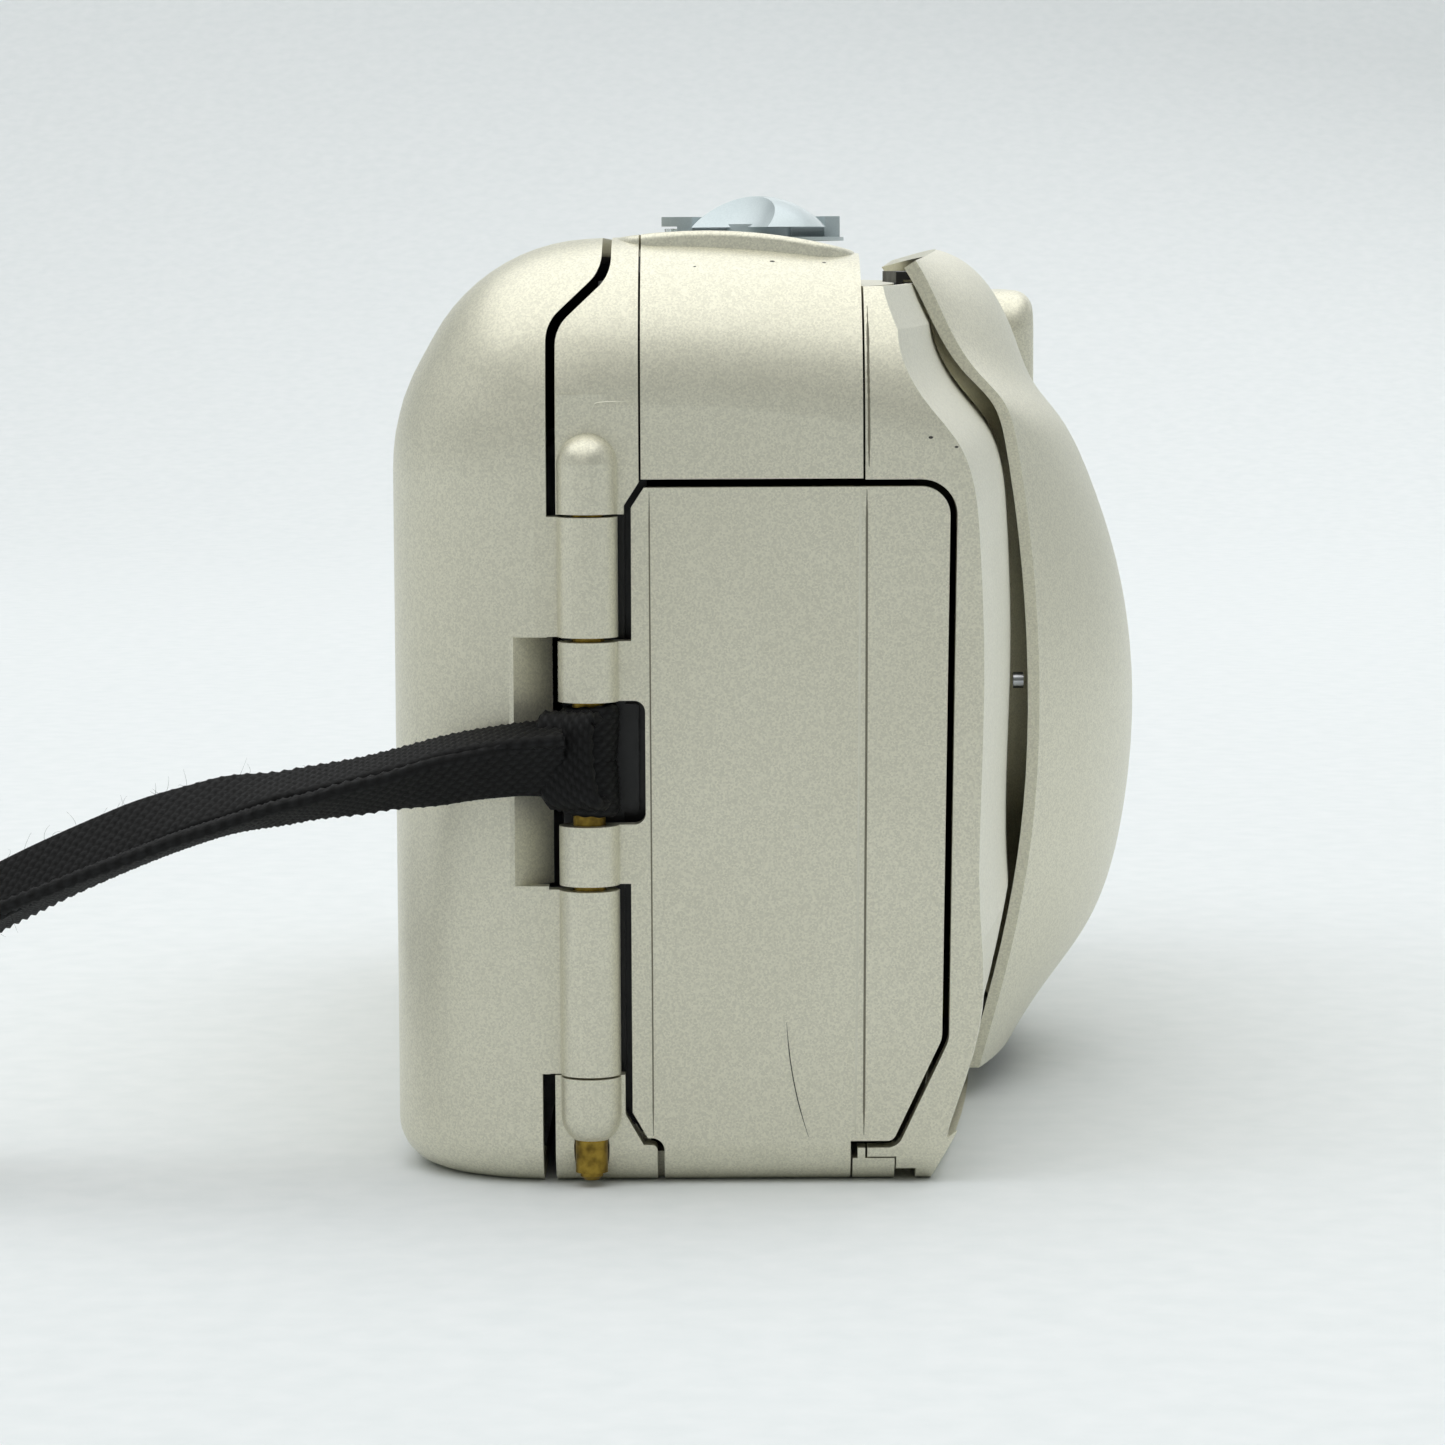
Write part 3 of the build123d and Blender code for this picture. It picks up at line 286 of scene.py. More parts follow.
def woven_nylon(name):
    """Black nylon webbing, plain woven from filament yarn: matt and painted darker as shade in the
    hollows, with a low sheen on each yarn's crown. The filaments are drawn coarser than life so that
    they show."""
    strap = bpy.context.scene.camera_strap
    material, tree, shader = start_material(
        name, Specular_IOR_Level=0.3, IOR=1.45)
    place = add(tree, "ShaderNodeUVMap", uv_map="webbing").outputs["UV"]
    strands = add(tree, "ShaderNodeMapping", {"Vector": place, "Scale": (0.35, 1.0, 1.0)})
    filament = add(tree, "ShaderNodeTexNoise", {"Vector": strands.outputs[0], "Detail": 2.0,
                                                "Scale": 1 / (0.09 * MM)})
    yarn = add(tree, "ShaderNodeTexNoise", {"Vector": place, "Detail": 1.0,
                                            "Scale": 1 / (strap.pick * 0.9)})
    fade = add(tree, "ShaderNodeTexNoise", {"Vector": place, "Detail": 2.0,
                                            "Scale": 1 / (9 * MM)})
    tone = math_node(tree, "ADD", math_node(tree, "MULTIPLY", yarn.outputs["Fac"], 0.6),
                     math_node(tree, "MULTIPLY", fade.outputs["Fac"], 0.4))
    # Painted shade: the crown height darkens the colour, so the hollows between yarns and at the looped
    # edges are painted near black.
    crown = add(tree, "ShaderNodeAttribute", attribute_name="crown").outputs["Fac"]
    high = ramp(tree, crown, 0.2, 1.0)
    cloth = mix_colour(tree, ramp(tree, tone, 0.35, 0.68), linear("#060607"), linear("#141517"))
    tree.links.new(mix_colour(tree, high, linear("#020202"), cloth),
                   shader.inputs["Base Color"])
    worn = math_node(tree, "MULTIPLY", ramp(tree, filament.outputs["Fac"], 0.3, 0.7), 0.2)
    tree.links.new(math_node(tree, "ADD", worn, ramp(tree, high, 0.0, 1.0, 0.62, 0.36)),
                   shader.inputs["Roughness"])
    bump = add(tree, "ShaderNodeBump", {"Height": filament.outputs["Fac"], "Strength": 0.5,
                                        "Distance": 0.03 * MM})
    tree.links.new(bump.outputs[0], shader.inputs["Normal"])
    return material


def make_materials():
    """All finishes, by the name of the part's material slot."""
    return {
        "champagne_paint": champagne_paint("champagne_lacquer_sprayed"),
        "champagne_frame": champagne_paint("champagne_lacquer_black_inside", "all inside"),
        "champagne_door": champagne_paint("champagne_lacquer_black_lining", "by normal"),
        "silver_plastic": plain_finish("silver_lacquer_sprayed", "#bcc7ca", "#ccd6d8", 0.12,
                                       (0.36, 0.46), 0.006, Metallic=0.55, Coat_Weight=0.3,
                                       Coat_Roughness=0.2),
        "dark_plastic": plain_finish("grey_abs_moulded", "#4c4e50", "#5c5e60", 0.15,
                                     (0.32, 0.46), 0.01, Metallic=0.3),
        "black_plastic": plain_finish("black_abs_spark_eroded", "#121213", "#1e1f20", 0.18,
                                      (0.42, 0.6), 0.03),
        "black_metal": plain_finish("black_lacquered_steel", "#101011", "#18181a", 0.3,
                                    (0.25, 0.4), 0.004, Metallic=0.4),
        "brass": turned_metal("brass_turned", "#a98d3e", "#6f5a28", (0.3, 0.5)),
        "steel": turned_metal("steel_nickel_plated", "#b9bbbd", "#a3a5a6", (0.22, 0.36)),
        "bright_metal": turned_metal("aluminium_bright", "#d9dadb", "#c6c8ca", (0.1, 0.2),
                                     axis="X"),
        "clear_window": clear_plastic("acrylic_clear_moulded", "#e9efee", 0.16),
        "coated_glass": clear_plastic("optical_glass_coated", "#9f8fb5", 0.05, 1.52),
        "display_grey": plain_finish("liquid_crystal_cell", "#8d9683", "#98a18d", 0.4,
                                     (0.18, 0.24), 0.002),
        "circuit_board": plain_finish("glass_epoxy_solder_mask", "#1c5a34", "#2b7344", 0.5,
                                      (0.3, 0.5), 0.02, "ShaderNodeTexVoronoi"),
        "cell_jacket": plain_finish("cell_jacket_printed", "#2c3450", "#343d5d", 0.4,
                                    (0.25, 0.35), 0.003, Metallic=0.3),
        "foam": plain_finish("foam_open_cell", "#0e0e0f", "#232324", 0.35, (0.8, 0.95), 0.15,
                             "ShaderNodeTexVoronoi"),
        "amber_lens": plain_finish("amber_acrylic_moulded", "#c8571a", "#d9702c", 0.5,
                                   (0.12, 0.2), 0.004, Transmission_Weight=0.5),
        "gear_nylon": plain_finish("nylon_natural_moulded", "#cfcab8", "#ded9c9", 0.3,
                                   (0.35, 0.5), 0.006),
        "webbing": woven_nylon("nylon_webbing_woven"),
        # Painted shade: a dark line in a darker copy of the paint tone, standing in for the shade along
        # seams.
        "painted_seam_shade": plain_finish("lacquer_painted_seam_shade", "#6a6655", "#7c7866", 0.2,
                                    (0.5, 0.6), 0.002),
        "worn_spot": plain_finish("bare_abs_chip", "#2b2a27", "#45433d", 0.15, (0.5, 0.7),
                                  0.01),
        # Painted highlight: a lighter copy of the paint tone, standing in for light caught on seam
        # lips, a step edge and one chip.
        "painted_highlight": plain_finish("lacquer_painted_highlight", "#e4e2d2", "#d5d2c0", 0.2,
                                    (0.35, 0.5), 0.002, Metallic=0.3),
        "segment_ink": plain_finish("display_segment_dark", "#20241f", "#2a2f28", 0.3,
                                    (0.2, 0.3), 0.001),
    }


NODE_FINISHES = {"body_frame": "champagne_frame", "film_door": "champagne_door",
                 "battery_door": "champagne_door", "zoom_ring": "silver_plastic"}
FINISHES = {}


def finish_piece(piece, key):
    """Gives a made piece its finish."""
    piece.data.materials.clear()
    piece.data.materials.append(FINISHES[key])


# ------------------------------------------------------------------ mesh helpers

def only(piece):
    """Deselects everything and makes one piece active."""
    bpy.ops.object.select_all(action="DESELECT")
    piece.select_set(True)
    bpy.context.view_layer.objects.active = piece


def pick_vertices(piece, test):
    """Selects vertices by place, ready for edit mode operators."""
    bpy.ops.object.mode_set(mode="EDIT")
    bpy.ops.mesh.select_mode(type="VERT")
    bpy.ops.mesh.select_all(action="DESELECT")
    bpy.ops.object.mode_set(mode="OBJECT")
    for vertex in piece.data.vertices:
        vertex.select = bool(test(vertex.co))
    bpy.ops.object.mode_set(mode="EDIT")


def place_in_mesh(piece, name):
    """Applies the piece's place, so that its object sits at the origin."""
    only(piece)
    bpy.ops.object.transform_apply(location=True, rotation=True, scale=True)
    piece.name = name
    piece.data.name = name
    return piece


def smooth_line(places, steps=24):
    """Points along the smooth line through a route, read from its own NURBS spline."""
    curve = bpy.data.curves.new("route_line", "CURVE")
    curve.dimensions = "3D"
    curve.resolution_u = steps
    spline = curve.splines.new("NURBS")
    spline.points.add(len(places) - 1)
    for point, place in zip(spline.points, places):
        point.co = (*place, 1.0)
    spline.order_u = 3
    spline.use_endpoint_u = True
    holder = bpy.data.objects.new("route_line", curve)
    bpy.context.collection.objects.link(holder)
    mesh = bpy.data.meshes.new_from_object(holder)
    line = [v.co.copy() for v in mesh.vertices]
    bpy.data.meshes.remove(mesh)
    bpy.data.objects.remove(holder)
    bpy.data.curves.remove(curve)
    return line


def even_points(line, step):
    """The same line with points a fixed step apart, and how far along each is."""
    total = sum((b - a).length for a, b in zip(line, line[1:]))
    count = max(8, round(total / step))
    out, done, index, spent = [], [], 0, 0.0
    for i in range(count + 1):
        want = total * i / count
        while index < len(line) - 2 and spent + (line[index + 1] - line[index]).length < want:
            spent += (line[index + 1] - line[index]).length
            index += 1
        run = line[index + 1] - line[index]
        share = min(1.0, (want - spent) / max(run.length, 1e-9))
        out.append(line[index] + run * share)
        done.append(want)
    return out, done


ROWS = 10                 # warp yarns across the webbing
FILAMENTS = 70            # loose ones along the worn edges
FILAMENT_R = 0.012        # radius of one, in mm
FILAMENT_SEGMENTS = 7
MARK_RISE = 0.03          # how far a painted seam line or a scratch stands on the lacquer, in mm
PICK_STEPS = 4            # rings for each pick
EDGE_STEPS = 5            # rings for each loop of the selvedge
EDGE_LIFT = 0.6           # how far a selvedge loop stands out, as a share of the relief


def webbing_ring(i, centre, across, normal, width, thick, relief):
    """One ring of the woven band: yarn crowns in brickwork on both faces, looped edges."""
    beat = (1.0, 0.6, 0.0, 0.6)
    loop = 0.5 + 0.5 * math.cos(2 * math.pi * i / EDGE_STEPS)
    face = width / 2 - thick * 0.3
    ring = []
    for side in (1, -1):
        for j in range(2 * ROWS + 1):
            v = (-face + 2 * face * j / (2 * ROWS)) * side
            row = j // 2 if side > 0 else ROWS - 1 - j // 2
            crown = beat[(i + (PICK_STEPS // 2) * (row % 2)) % PICK_STEPS] if j % 2 else 0.25
            edge = 1 - 0.35 * (abs(v) / face) ** 6
            lift = (thick / 2 - relief) * edge + relief * crown
            ring.append((centre + across * v + normal * (side * lift), v, crown))
        v = side * (width / 2 - relief * (1 - EDGE_LIFT * loop))
        ring.append((centre + across * v, v, loop))
    return ring


def woven_band(name, points, done, lean, width, thick, relief, closed=False):
    """Flat webbing along points; lean gives the across direction at each."""
    vertices, coords, crowns, faces = [], [], [], []
    count = len(points)
    for i, centre in enumerate(points):
        ahead = points[(i + 1) % count] if closed or i < count - 1 else centre
        behind = points[i - 1] if closed or i > 0 else centre
        along = (ahead - behind).normalized()
        across = lean[i] - along * lean[i].dot(along)
        across.normalize()
        ring = webbing_ring(i, centre, across, along.cross(across), width, thick, relief)
        vertices += [place for place, _, _ in ring]
        coords += [(done[i], v) for _, v, _ in ring]
        crowns += [crown for _, _, crown in ring]
    size = len(vertices) // count
    for i in range(count if closed else count - 1):
        a, b = i * size, ((i + 1) % count) * size
        faces += [(a + j, a + (j + 1) % size, b + (j + 1) % size, b + j) for j in range(size)]
    if not closed:
        faces += [tuple(reversed(range(size))), tuple(range((count - 1) * size, count * size))]
    mesh = bpy.data.meshes.new(name)
    mesh.from_pydata(vertices, [], faces)
    mesh.attributes.new("crown", "FLOAT", "POINT").data.foreach_set("value", crowns)
    layer = mesh.uv_layers.new(name="webbing")
    for loop in mesh.loops:
        layer.data[loop.index].uv = coords[loop.vertex_index]
    band = bpy.data.objects.new(name, mesh)
    bpy.context.collection.objects.link(band)
    only(band)
    bpy.ops.object.mode_set(mode="EDIT")
    bpy.ops.mesh.select_all(action="SELECT")
    bpy.ops.mesh.normals_make_consistent(inside=False)
    bpy.ops.object.mode_set(mode="OBJECT")
    bpy.ops.object.shade_smooth()
    return band


def strap_frame(step):
    """Centres along the strap, how far along they are, and the webbing's lean at each."""
    places = [Vector(row[:3]) * MM for row in STRAP_ROUTE]
    line = smooth_line(places)
    points, done = even_points(line, step)
    marks = []
    for place in places:
        nearest = min(range(len(points)), key=lambda i: (points[i] - place).length)
        marks.append(done[nearest])
    marks[0], marks[-1] = 0.0, done[-1]
    lean, k = [], 0
    for i in range(len(points)):
        while k < len(marks) - 2 and done[i] > marks[k + 1]:
            k += 1
        share = (done[i] - marks[k]) / max(marks[k + 1] - marks[k], 1e-9)
        share = min(max(share, 0.0), 1.0)
        share = share * share * (3 - 2 * share)
        a, b = STRAP_ROUTE[k][3], STRAP_ROUTE[k + 1][3]
        angle = math.radians(a + (b - a) * share)
        ahead = points[min(i + 1, len(points) - 1)] - points[max(i - 1, 0)]
        side = ahead.cross(Vector((0, 0, 1))).normalized()
        lean.append(Vector((0, 0, 1)) * math.cos(angle) + side * math.sin(angle))
    return points, done, lean


# ------------------------------------------------------------------ strap

class FILMCAM_OT_strap(bpy.types.Operator):
    """Woven wrist strap, from the hinge pin down to the table, round and back"""
    bl_idname = "filmcam.strap"
    bl_label = "Wrist strap"

    def execute(self, context):
        strap = context.scene.camera_strap
        points, done, lean = strap_frame(strap.pick / PICK_STEPS)
        band = woven_band("strap_webbing", points, done, lean, strap.width, strap.thickness,
                          strap.relief)
        finish_piece(band, "webbing")
        hitch = self.hitch(strap)
        fuzz = self.fuzz(points, lean, strap)
        for piece in (band, hitch, fuzz):
            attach(piece, "film_door")
        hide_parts("strap")
        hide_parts("strap_knot")
        return {"FINISHED"}

    def hitch(self, strap):
        """Two turns round the pin and the bight that crosses the two runs."""
        bands = []
        step = strap.pick / PICK_STEPS
        for n, (height, tilt) in enumerate(((25.5, 0.05), (28.7, -0.06))):
            radius = HITCH_R * MM
            count = round(2 * math.pi * radius / step / PICK_STEPS) * PICK_STEPS
            points, lean = [], []
            for i in range(count):
                angle = 2 * math.pi * i / count
                points.append(Vector((NEAR_X * MM + radius * math.cos(angle),
                                      AXIS_Y * MM + radius * math.sin(angle),
                                      height * MM + tilt * radius * math.sin(angle))))
                lean.append(Vector((0, tilt, 1)))
            done = [step * i for i in range(count)]
            bands.append(woven_band(f"hitch_turn_{n}", points, done, lean, 3.9 * MM,
                                    0.8 * MM, 0.14 * MM, closed=True))
        bight = [(-58.5, 13.5, 29.6), (-59.3, 14.2, 30.0), (-59.9, 14.4, 29.3),
                 (-60.05, 14.4, 27.2), (-59.9, 14.1, 25.2), (-59.2, 13.6, 24.4),
                 (-58.4, 13.2, 24.6)]
        line = smooth_line([Vector(p) * MM for p in bight])
        points, done = even_points(line, step)
        lean = [Vector((0.28, 1.0, 0.0))] * len(points)
        bands.append(woven_band("hitch_bight", points, done, lean, 4.1 * MM,
                                strap.thickness, strap.relief))
        bpy.ops.object.select_all(action="DESELECT")
        for band in bands:
            band.select_set(True)
        bpy.context.view_layer.objects.active = bands[-1]
        bpy.ops.object.join()
        hitch = bpy.context.view_layer.objects.active
        finish_piece(hitch, "webbing")
        return place_in_mesh(hitch, "strap_hitch")

    def fuzz(self, points, lean, strap):
        """Loose filaments standing off the worn edges near the camera."""
        draw = random.Random(11)
        vertices, faces = [], []
        for _ in range(FILAMENTS):
            i = draw.randrange(40, int(len(points) * 0.2))
            edge = draw.choice((1, 1, -1)) * strap.width * 0.5
            root = points[i] + lean[i].normalized() * edge
            along = (points[i + 1] - points[i]).normalized()
            rise = lean[i].normalized() * (0.8 if edge > 0 else -0.6)
            heading = along * draw.uniform(-1.0, 1.0) + rise
            heading += Vector((draw.uniform(-0.5, 0.1), 0, draw.uniform(-0.1, 0.3)))
            heading.normalize()
            curl = Vector([draw.uniform(-1, 1) for _ in range(3)])
            length, segments = draw.uniform(0.5, 1.6) * MM, FILAMENT_SEGMENTS
            radius = FILAMENT_R * MM
            place, first = root.copy(), len(vertices)
            for s in range(segments + 1):
                side = heading.orthogonal().normalized()
                other = heading.cross(side)
                for turn in (0, 2.1, 4.2):
                    vertices.append(place + (side * math.cos(turn) + other * math.sin(turn))
                                    * radius * (1 - 0.6 * s / segments))
                heading = (heading + curl * 0.28).normalized()
                place = place + heading * (length / segments)
            for s in range(segments):
                a = first + s * 3
                faces += [(a + j, a + (j + 1) % 3, a + 3 + (j + 1) % 3, a + 3 + j)
                          for j in range(3)]
            top = first + segments * 3
            faces += [(first + 2, first + 1, first), (top, top + 1, top + 2)]
        mesh = bpy.data.meshes.new("strap_fuzz")
        mesh.from_pydata(vertices, [], faces)
        mesh.uv_layers.new(name="webbing")
        fuzz = bpy.data.objects.new("strap_fuzz", mesh)
        bpy.context.collection.objects.link(fuzz)
        finish_piece(fuzz, "webbing")
        return fuzz


# ------------------------------------------------------------------ small details

class FILMCAM_OT_display(bpy.types.Operator):
    """Segments of the frame counter and the cell gauge on the display"""
    bl_idname = "filmcam.display"
    bl_label = "Display segments"

    def execute(self, context):
        low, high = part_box("lcd_panel")
        centre = (Vector(low) + Vector(high)) / 2
        bars = []
        strokes = [(-0.9, 0.8, 0.9, 0.16), (-0.9, 0.0, 0.9, 0.16), (-0.9, -0.8, 0.9, 0.16),
                   (-0.5, 0.4, 0.16, 0.6), (-1.3, -0.4, 0.16, 0.6),
                   (0.9, 0.0, 0.9, 0.16), (1.3, 0.4, 0.16, 0.6), (0.5, 0.4, 0.16, 0.6),
                   (1.3, -0.4, 0.16, 0.6), (4.2, 0.0, 1.0, 0.8), (3.5, 0.0, 0.2, 0.4)]
        for x, y, wide, tall in strokes:
            bpy.ops.object.select_all(action="DESELECT")
            bpy.ops.mesh.primitive_cube_add(
                size=1, location=(centre.x - x * MM, centre.y - y * MM, high[2] + 0.02 * MM),
                scale=(wide * MM, tall * MM, 0.04 * MM))
            bar = bpy.context.object
            bpy.ops.object.transform_apply(location=True, rotation=True, scale=True)
            bars.append(bar)
        bpy.ops.object.select_all(action="DESELECT")
        for bar in bars:
            bar.select_set(True)
        bpy.ops.object.join()
        segments = place_in_mesh(bpy.context.object, "display_segments")
        finish_piece(segments, "segment_ink")
        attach(segments, "body")
        return {"FINISHED"}


# Most of these lines are painted highlight and painted shade along seams and a step; the low scratch is
# wear.
MARKS = {
    # name: (body, finish, width in mm, node it lies on, places as (y, z) in mm)
    # Painted shade along the battery door's seam line by the hinge.
    "wear_line_gap": ("battery_door", "painted_seam_shade", 0.2, "battery_door",
                      [(9.0, 3.2), (9.0, 15.0), (9.02, 30.0), (9.02, 43.9)]),
    # Painted highlight on the lip of the door's front seam.
    "wear_line_door": ("battery_door", "painted_highlight", 0.3, "battery_door",
                       [(-3.75, 3.2), (-3.95, 16.0), (-4.1, 30.0), (-4.2, 44.0)]),
    # Painted shade beside the door's front seam, next to its painted highlight.
    "wear_shade_door": ("battery_door", "painted_seam_shade", 0.3, "battery_door",
                        [(-4.3, 3.2), (-4.4, 16.0), (-4.55, 30.0), (-4.6, 44.0)]),
    # Painted shade carrying that seam up the front cover.
    "wear_shade_cover": ("body", "painted_seam_shade", 0.35, "front_cover",
                         [(-4.75, 45.4), (-4.75, 48.0), (-4.72, 52.0), (-4.72, 55.4)]),
    # Painted highlight along the edge of a step on the body frame.
    "wear_line_step": ("body", "painted_highlight", 0.16, "body_frame",
                       [(12.65, 48.0), (12.65, 49.4), (11.9, 49.55), (9.9, 49.55)]),
    "wear_scratch_low": ("battery_door", "worn_spot", 0.14, "battery_door",
                         [(0.56, 10.4), (0.45, 8.7), (0.1, 6.4), (-0.35, 4.5), (-0.8, 3.1)]),
}
NICKS = [("nick_edge", "body", "top_cover", "worn_spot",
          [(1.2, 58.2, 0.34), (-2.1, 58.1, 0.26), (6.1, 57.9, 0.2)]),
         ("nick_front", "body", "front_cover", "worn_spot",
          [(-8.6, 47.2, 0.3), (-10.2, 46.6, 0.24)]),
         # The chip on the battery door is painted light as a highlight; the chips above are worn to the
         # bare plastic.
         ("nick_light", "battery_door", "battery_door", "painted_highlight", [(-0.15, 22.8, 0.4)])]


def near_side(node, y, z):
    """Where a line from the near side meets a node, and the surface's direction there."""
    start = Vector((CAD_BOX[0][0] - 0.02, y * MM, z * MM))
    hit, place, normal, _ = frame["nodes"][node].ray_cast(start, Vector((1, 0, 0)))
    if not hit:
        raise RuntimeError(f"no surface on {node} at {y}, {z}")
    return place, normal


class FILMCAM_OT_wear_and_painted_light(bpy.types.Operator):
    """Painted highlight and shade lines along seams and a step, a scratch and nicks on the near side,
    laid on the lacquer
    """
    bl_idname = "filmcam.wear"
    bl_label = "Wear marks and painted seam light"

    def execute(self, context):
        for name, (body, finish, width, node, places) in MARKS.items():
            self.line(name, body, finish, width * MM, node, places)
        for name, body, node, finish, spots in NICKS:
            self.nicks(name, body, node, finish, spots)
        return {"FINISHED"}

    def line(self, name, body, finish, width, node, places):
        """A thin raised line that follows the node's surface."""
        route = smooth_line([Vector((0, y * MM, z * MM)) for y, z in places])
        points, _ = even_points(route, 0.6 * MM)
        rise = MARK_RISE * MM
        vertices, faces = [], []
        for i, point in enumerate(points):
            along = points[min(i + 1, len(points) - 1)] - points[max(i - 1, 0)]
            end = min(i, len(points) - 1 - i) / 4
            half = width / 2 * min(1.0, 0.25 + end)
            place, normal = near_side(node, point.y / MM, point.z / MM)
            side = normal.cross(along).normalized() * half
            for shift, depth in ((-1, -1.0), (0, 1.0), (1, -1.0), (0, -1.6)):
                vertices.append(place + side * shift + normal * rise * depth)
        for i in range(len(points) - 1):
            faces += [(4 * i + j, 4 * i + (j + 1) % 4, 4 * i + 4 + (j + 1) % 4, 4 * i + 4 + j)
                      for j in range(4)]
        last = 4 * (len(points) - 1)
        faces += [(3, 2, 1, 0), (last, last + 1, last + 2, last + 3)]
        mesh = bpy.data.meshes.new(name)
        mesh.from_pydata(vertices, [], faces)
        piece = bpy.data.objects.new(name, mesh)
        bpy.context.collection.objects.link(piece)
        self.close(piece, body, finish)

    def nicks(self, name, body, node, finish, spots):
        """Small chips: flattened facets sunk into the surface."""
        chips = []
        for y, z, size in spots:
            place, normal = near_side(node, y, z)
            bpy.ops.object.select_all(action="DESELECT")
            bpy.ops.mesh.primitive_ico_sphere_add(subdivisions=2, radius=size / 2 * MM)
            chip = bpy.context.object
            chip.scale = (1.0, 0.6, 0.12)
            chip.rotation_euler = normal.to_track_quat("Z", "Y").to_euler()
            chip.location = place
            bpy.ops.object.transform_apply(location=True, rotation=True, scale=True)
            chips.append(chip)
        bpy.ops.object.select_all(action="DESELECT")
        for chip in chips:
            chip.select_set(True)
        bpy.context.view_layer.objects.active = chips[0]
        if len(chips) > 1:
            bpy.ops.object.join()
        self.close(place_in_mesh(bpy.context.object, name), body, finish)

    def close(self, piece, body, finish):
        """Turns the faces outwards, finishes the piece and rides it on its body."""
        only(piece)
        bpy.ops.object.mode_set(mode="EDIT")
        bpy.ops.mesh.select_all(action="SELECT")
        bpy.ops.mesh.normals_make_consistent(inside=False)
        bpy.ops.object.mode_set(mode="OBJECT")
        finish_piece(piece, finish)
        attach(piece, body)


class FILMCAM_OT_finishes(bpy.types.Operator):
    """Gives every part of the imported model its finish"""
    bl_idname = "filmcam.finishes"
    bl_label = "Finishes"

    def execute(self, context):
        FINISHES.update(make_materials())
        slots = {row["node"]: row["material_slot"] for row in frame["record"]["subparts"]}
        for name, piece in frame["nodes"].items():
            material = FINISHES[NODE_FINISHES.get(name, slots[name])]
            meshes = [o for o in (piece, *piece.children_recursive) if o.type == "MESH"]
            for part in meshes:
                for place in part.material_slots:
                    place.material = material
        return {"FINISHED"}


# ------------------------------------------------------------------ stage

class FILMCAM_OT_stage(bpy.types.Operator):
    """Pale paper sweep, soft lights and the camera"""
    bl_idname = "filmcam.stage"
    bl_label = "Studio"

    def execute(self, context):
        studio = context.scene.camera_studio
        self.sweep()
        self.lights(studio)
        self.view(studio)
        return {"FINISHED"}

    def sweep(self):
        """Paper sweep: a floor that curves up far behind the camera body."""
        bpy.ops.object.select_all(action="DESELECT")
        bpy.ops.mesh.primitive_plane_add(size=1, location=(0, 0, 0))
        paper = bpy.context.object
        paper.scale = (3.2, 5.0, 1)
        place_in_mesh(paper, "paper_sweep")
        pick_vertices(paper, lambda co: co.x > 0)
        bpy.ops.mesh.extrude_region_move(TRANSFORM_OT_translate={"value": (0.0, 0, 2.4)})
        bpy.ops.object.mode_set(mode="OBJECT")
        pick_vertices(paper, lambda co: co.x > 1 and co.z < 0.1)
        bpy.ops.mesh.bevel(offset=1.0, segments=24, affect="EDGES")
        bpy.ops.object.mode_set(mode="OBJECT")
        bpy.ops.object.shade_smooth()
        material, tree, shader = start_material("paper_matt_white", Roughness=0.9)
        tooth = grain(tree, 3.0, 3.0).outputs["Fac"]
        tree.links.new(mix_colour(tree, ramp(tree, tooth, 0.3, 0.7), linear("#e3e7e8"),
                                  linear("#e8ebec")), shader.inputs["Base Color"])
        paper.data.materials.append(material)

    def lights(self, studio):
        world = bpy.data.worlds.new("studio_air")
        bpy.context.scene.world = world
        world.use_nodes = True
        tree = world.node_tree
        air = tree.nodes["Background"]
        heading = add(tree, "ShaderNodeSeparateXYZ",
                      {"Vector": add(tree, "ShaderNodeTexCoord").outputs["Generated"]})
        near_side = ramp(tree, heading.outputs["X"], -0.9, 0.1, 1.0, 0.0)
        low_down = ramp(tree, heading.outputs["Z"], 0.3, 0.8, 1.0, 0.0)
        room = math_node(tree, "MULTIPLY", near_side, low_down)
        tree.links.new(mix_colour(tree, room, linear("#f1f6f5"), linear("#8f9290")),
                       air.inputs["Color"])
        air.inputs["Strength"].default_value = studio.air
        for name, place, aim, size, power, tint in (
            ("soft_top", (0.05, 0.15, 1.1), (0, 0.02, 0.03), 1.9, studio.top, "#ffffff"),
            ("soft_near", (-1.3, 0.5, 0.9), (0, 0, 0.03), 0.9, studio.near, "#fdfbf6"),
            ("soft_far", (0.7, -0.3, 0.55), (0, 0, 0.05), 0.7, studio.far, "#ffffff"),
        ):
            lamp = bpy.data.lights.new(name, "AREA")
            lamp.size = size
            lamp.energy = power
            lamp.color = linear(tint)[:3]
            holder = bpy.data.objects.new(name, lamp)
            holder.location = place
            heading = Vector(aim) - Vector(place)
            holder.rotation_euler = heading.to_track_quat("-Z", "Y").to_euler()
            holder.visible_camera = False
            bpy.context.collection.objects.link(holder)

    def view(self, studio):
        lens = bpy.data.cameras.new("view")
        lens.sensor_width = 36.0
        lens.lens = studio.focal
        lens.clip_start = 0.01
        holder = bpy.data.objects.new("view", lens)
        pitch = math.radians(90 - studio.pitch)
        turn = Matrix.Rotation(math.radians(-90), 4, "Z") @ Matrix.Rotation(pitch, 4, "X")
        roll = Matrix.Rotation(math.radians(studio.roll), 4, "Z")
        holder.matrix_world = Matrix.Translation(studio.place) @ turn @ roll
        bpy.context.collection.objects.link(holder)
        scene = bpy.context.scene
        scene.camera = holder
        scene.view_settings.view_transform = "Standard"
        scene.view_settings.look = "None"


# ------------------------------------------------------------------ settings

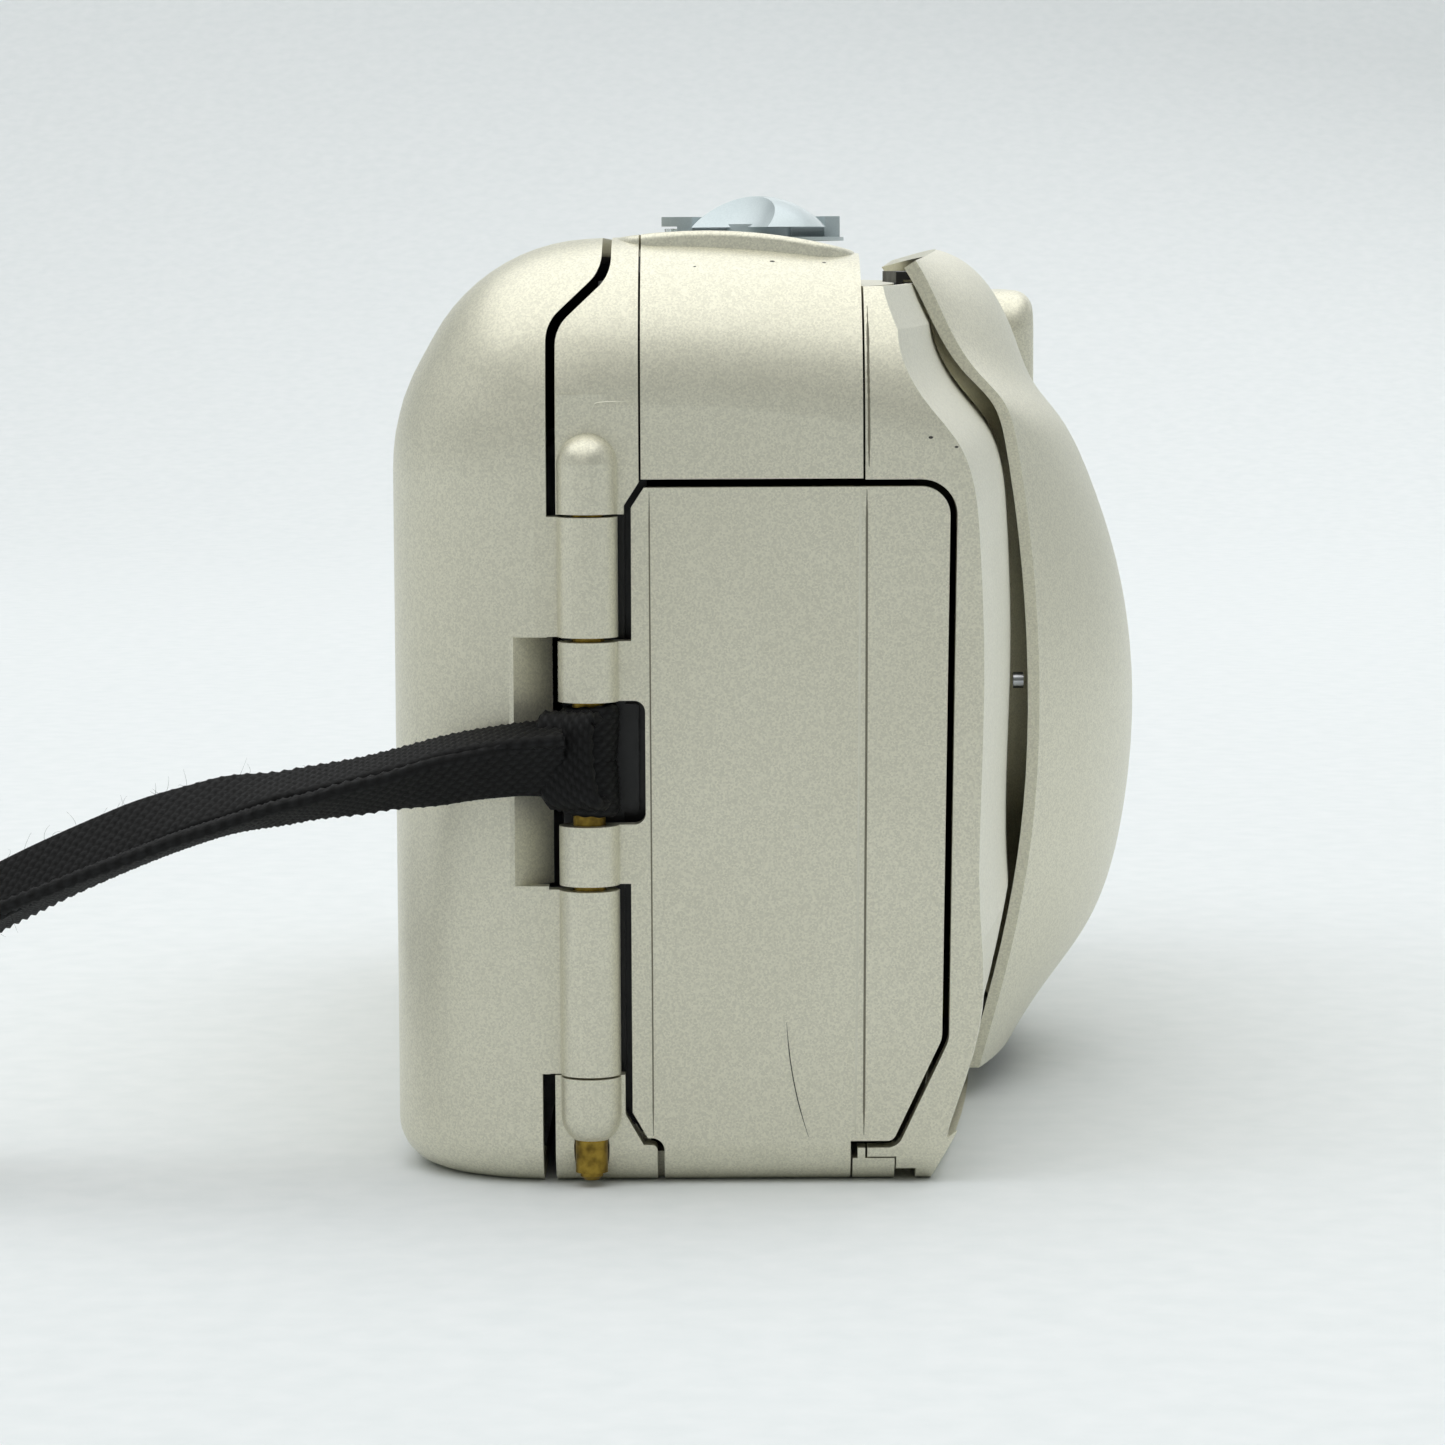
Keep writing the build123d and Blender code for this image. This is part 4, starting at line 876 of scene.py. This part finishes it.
class CameraFinish(bpy.types.PropertyGroup):
    paint: bpy.props.FloatVectorProperty(
        name="Paint", description="Champagne lacquer, linear colour", subtype="COLOR", size=4,
        min=0, max=1, default=linear("#e0ddca"))
    flake_mm: bpy.props.FloatProperty(
        name="Flake", description="Size of the metallic flake, drawn coarser than life, in mm",
        default=0.11, min=0.02, max=1.0)


class CameraStrap(bpy.types.PropertyGroup):
    width: bpy.props.FloatProperty(
        name="Width", description="Width of the webbing", default=4.8 * MM, unit="LENGTH")
    thickness: bpy.props.FloatProperty(
        name="Thickness", description="Thickness of the webbing over its yarn crowns",
        default=1.15 * MM, unit="LENGTH")
    pick: bpy.props.FloatProperty(
        name="Pick", description="Length of one yarn crown", default=0.78 * MM, unit="LENGTH")
    relief: bpy.props.FloatProperty(
        name="Relief", description="Height of a yarn crown", default=0.2 * MM, unit="LENGTH")


class CameraStudio(bpy.types.PropertyGroup):
    air: bpy.props.FloatProperty(
        name="Air", description="Strength of the even light all round", default=0.54)
    top: bpy.props.FloatProperty(
        name="Top light", description="Soft light overhead, in watts", default=14.0)
    near: bpy.props.FloatProperty(
        name="Near light", description="Soft light beside the view, in watts", default=1.2)
    far: bpy.props.FloatProperty(
        name="Far light", description="Soft light behind and above, in watts", default=1.1)
    focal: bpy.props.FloatProperty(
        name="Focal length", description="Lens of the view, in mm", default=127.6)
    place: bpy.props.FloatVectorProperty(
        name="Place", description="Place of the view", subtype="TRANSLATION",
        default=(-0.3774, 0.0045, 0.0583))
    pitch: bpy.props.FloatProperty(
        name="Pitch", description="How far the view looks down, in degrees", default=5.16)
    roll: bpy.props.FloatProperty(
        name="Roll", description="How far the view leans, in degrees", default=-0.3)


PIECE_OPERATORS = (FILMCAM_OT_finishes, FILMCAM_OT_stage, FILMCAM_OT_strap,
                   FILMCAM_OT_display, FILMCAM_OT_wear_and_painted_light)


class FILMCAM_PT_build(bpy.types.Panel):
    """Pieces of the compact film camera"""
    bl_idname = "FILMCAM_PT_build"
    bl_label = "Film camera"
    bl_space_type = "VIEW_3D"
    bl_region_type = "UI"
    bl_category = "Film camera"

    def draw(self, context):
        scene = context.scene
        for group in (scene.camera_finish, scene.camera_strap, scene.camera_studio):
            box = self.layout.box()
            for key in group.__annotations__:
                box.prop(group, key)
        for piece in PIECE_OPERATORS:
            self.layout.operator(piece.bl_idname)


GROUPS = {"camera_finish": CameraFinish, "camera_strap": CameraStrap,
          "camera_studio": CameraStudio}


def register():
    for kind in (*GROUPS.values(), *PIECE_OPERATORS, FILMCAM_PT_build):
        bpy.utils.register_class(kind)
    for name, kind in GROUPS.items():
        setattr(bpy.types.Scene, name, bpy.props.PointerProperty(type=kind))


def unregister():
    for name in GROUPS:
        delattr(bpy.types.Scene, name)
    for kind in (FILMCAM_PT_build, *reversed(PIECE_OPERATORS), *GROUPS.values()):
        bpy.utils.unregister_class(kind)


def main():
    register()
    for piece in PIECE_OPERATORS:
        group, call = piece.bl_idname.split(".")
        getattr(getattr(bpy.ops, group), call)()


if __name__ == "__main__":
    main()
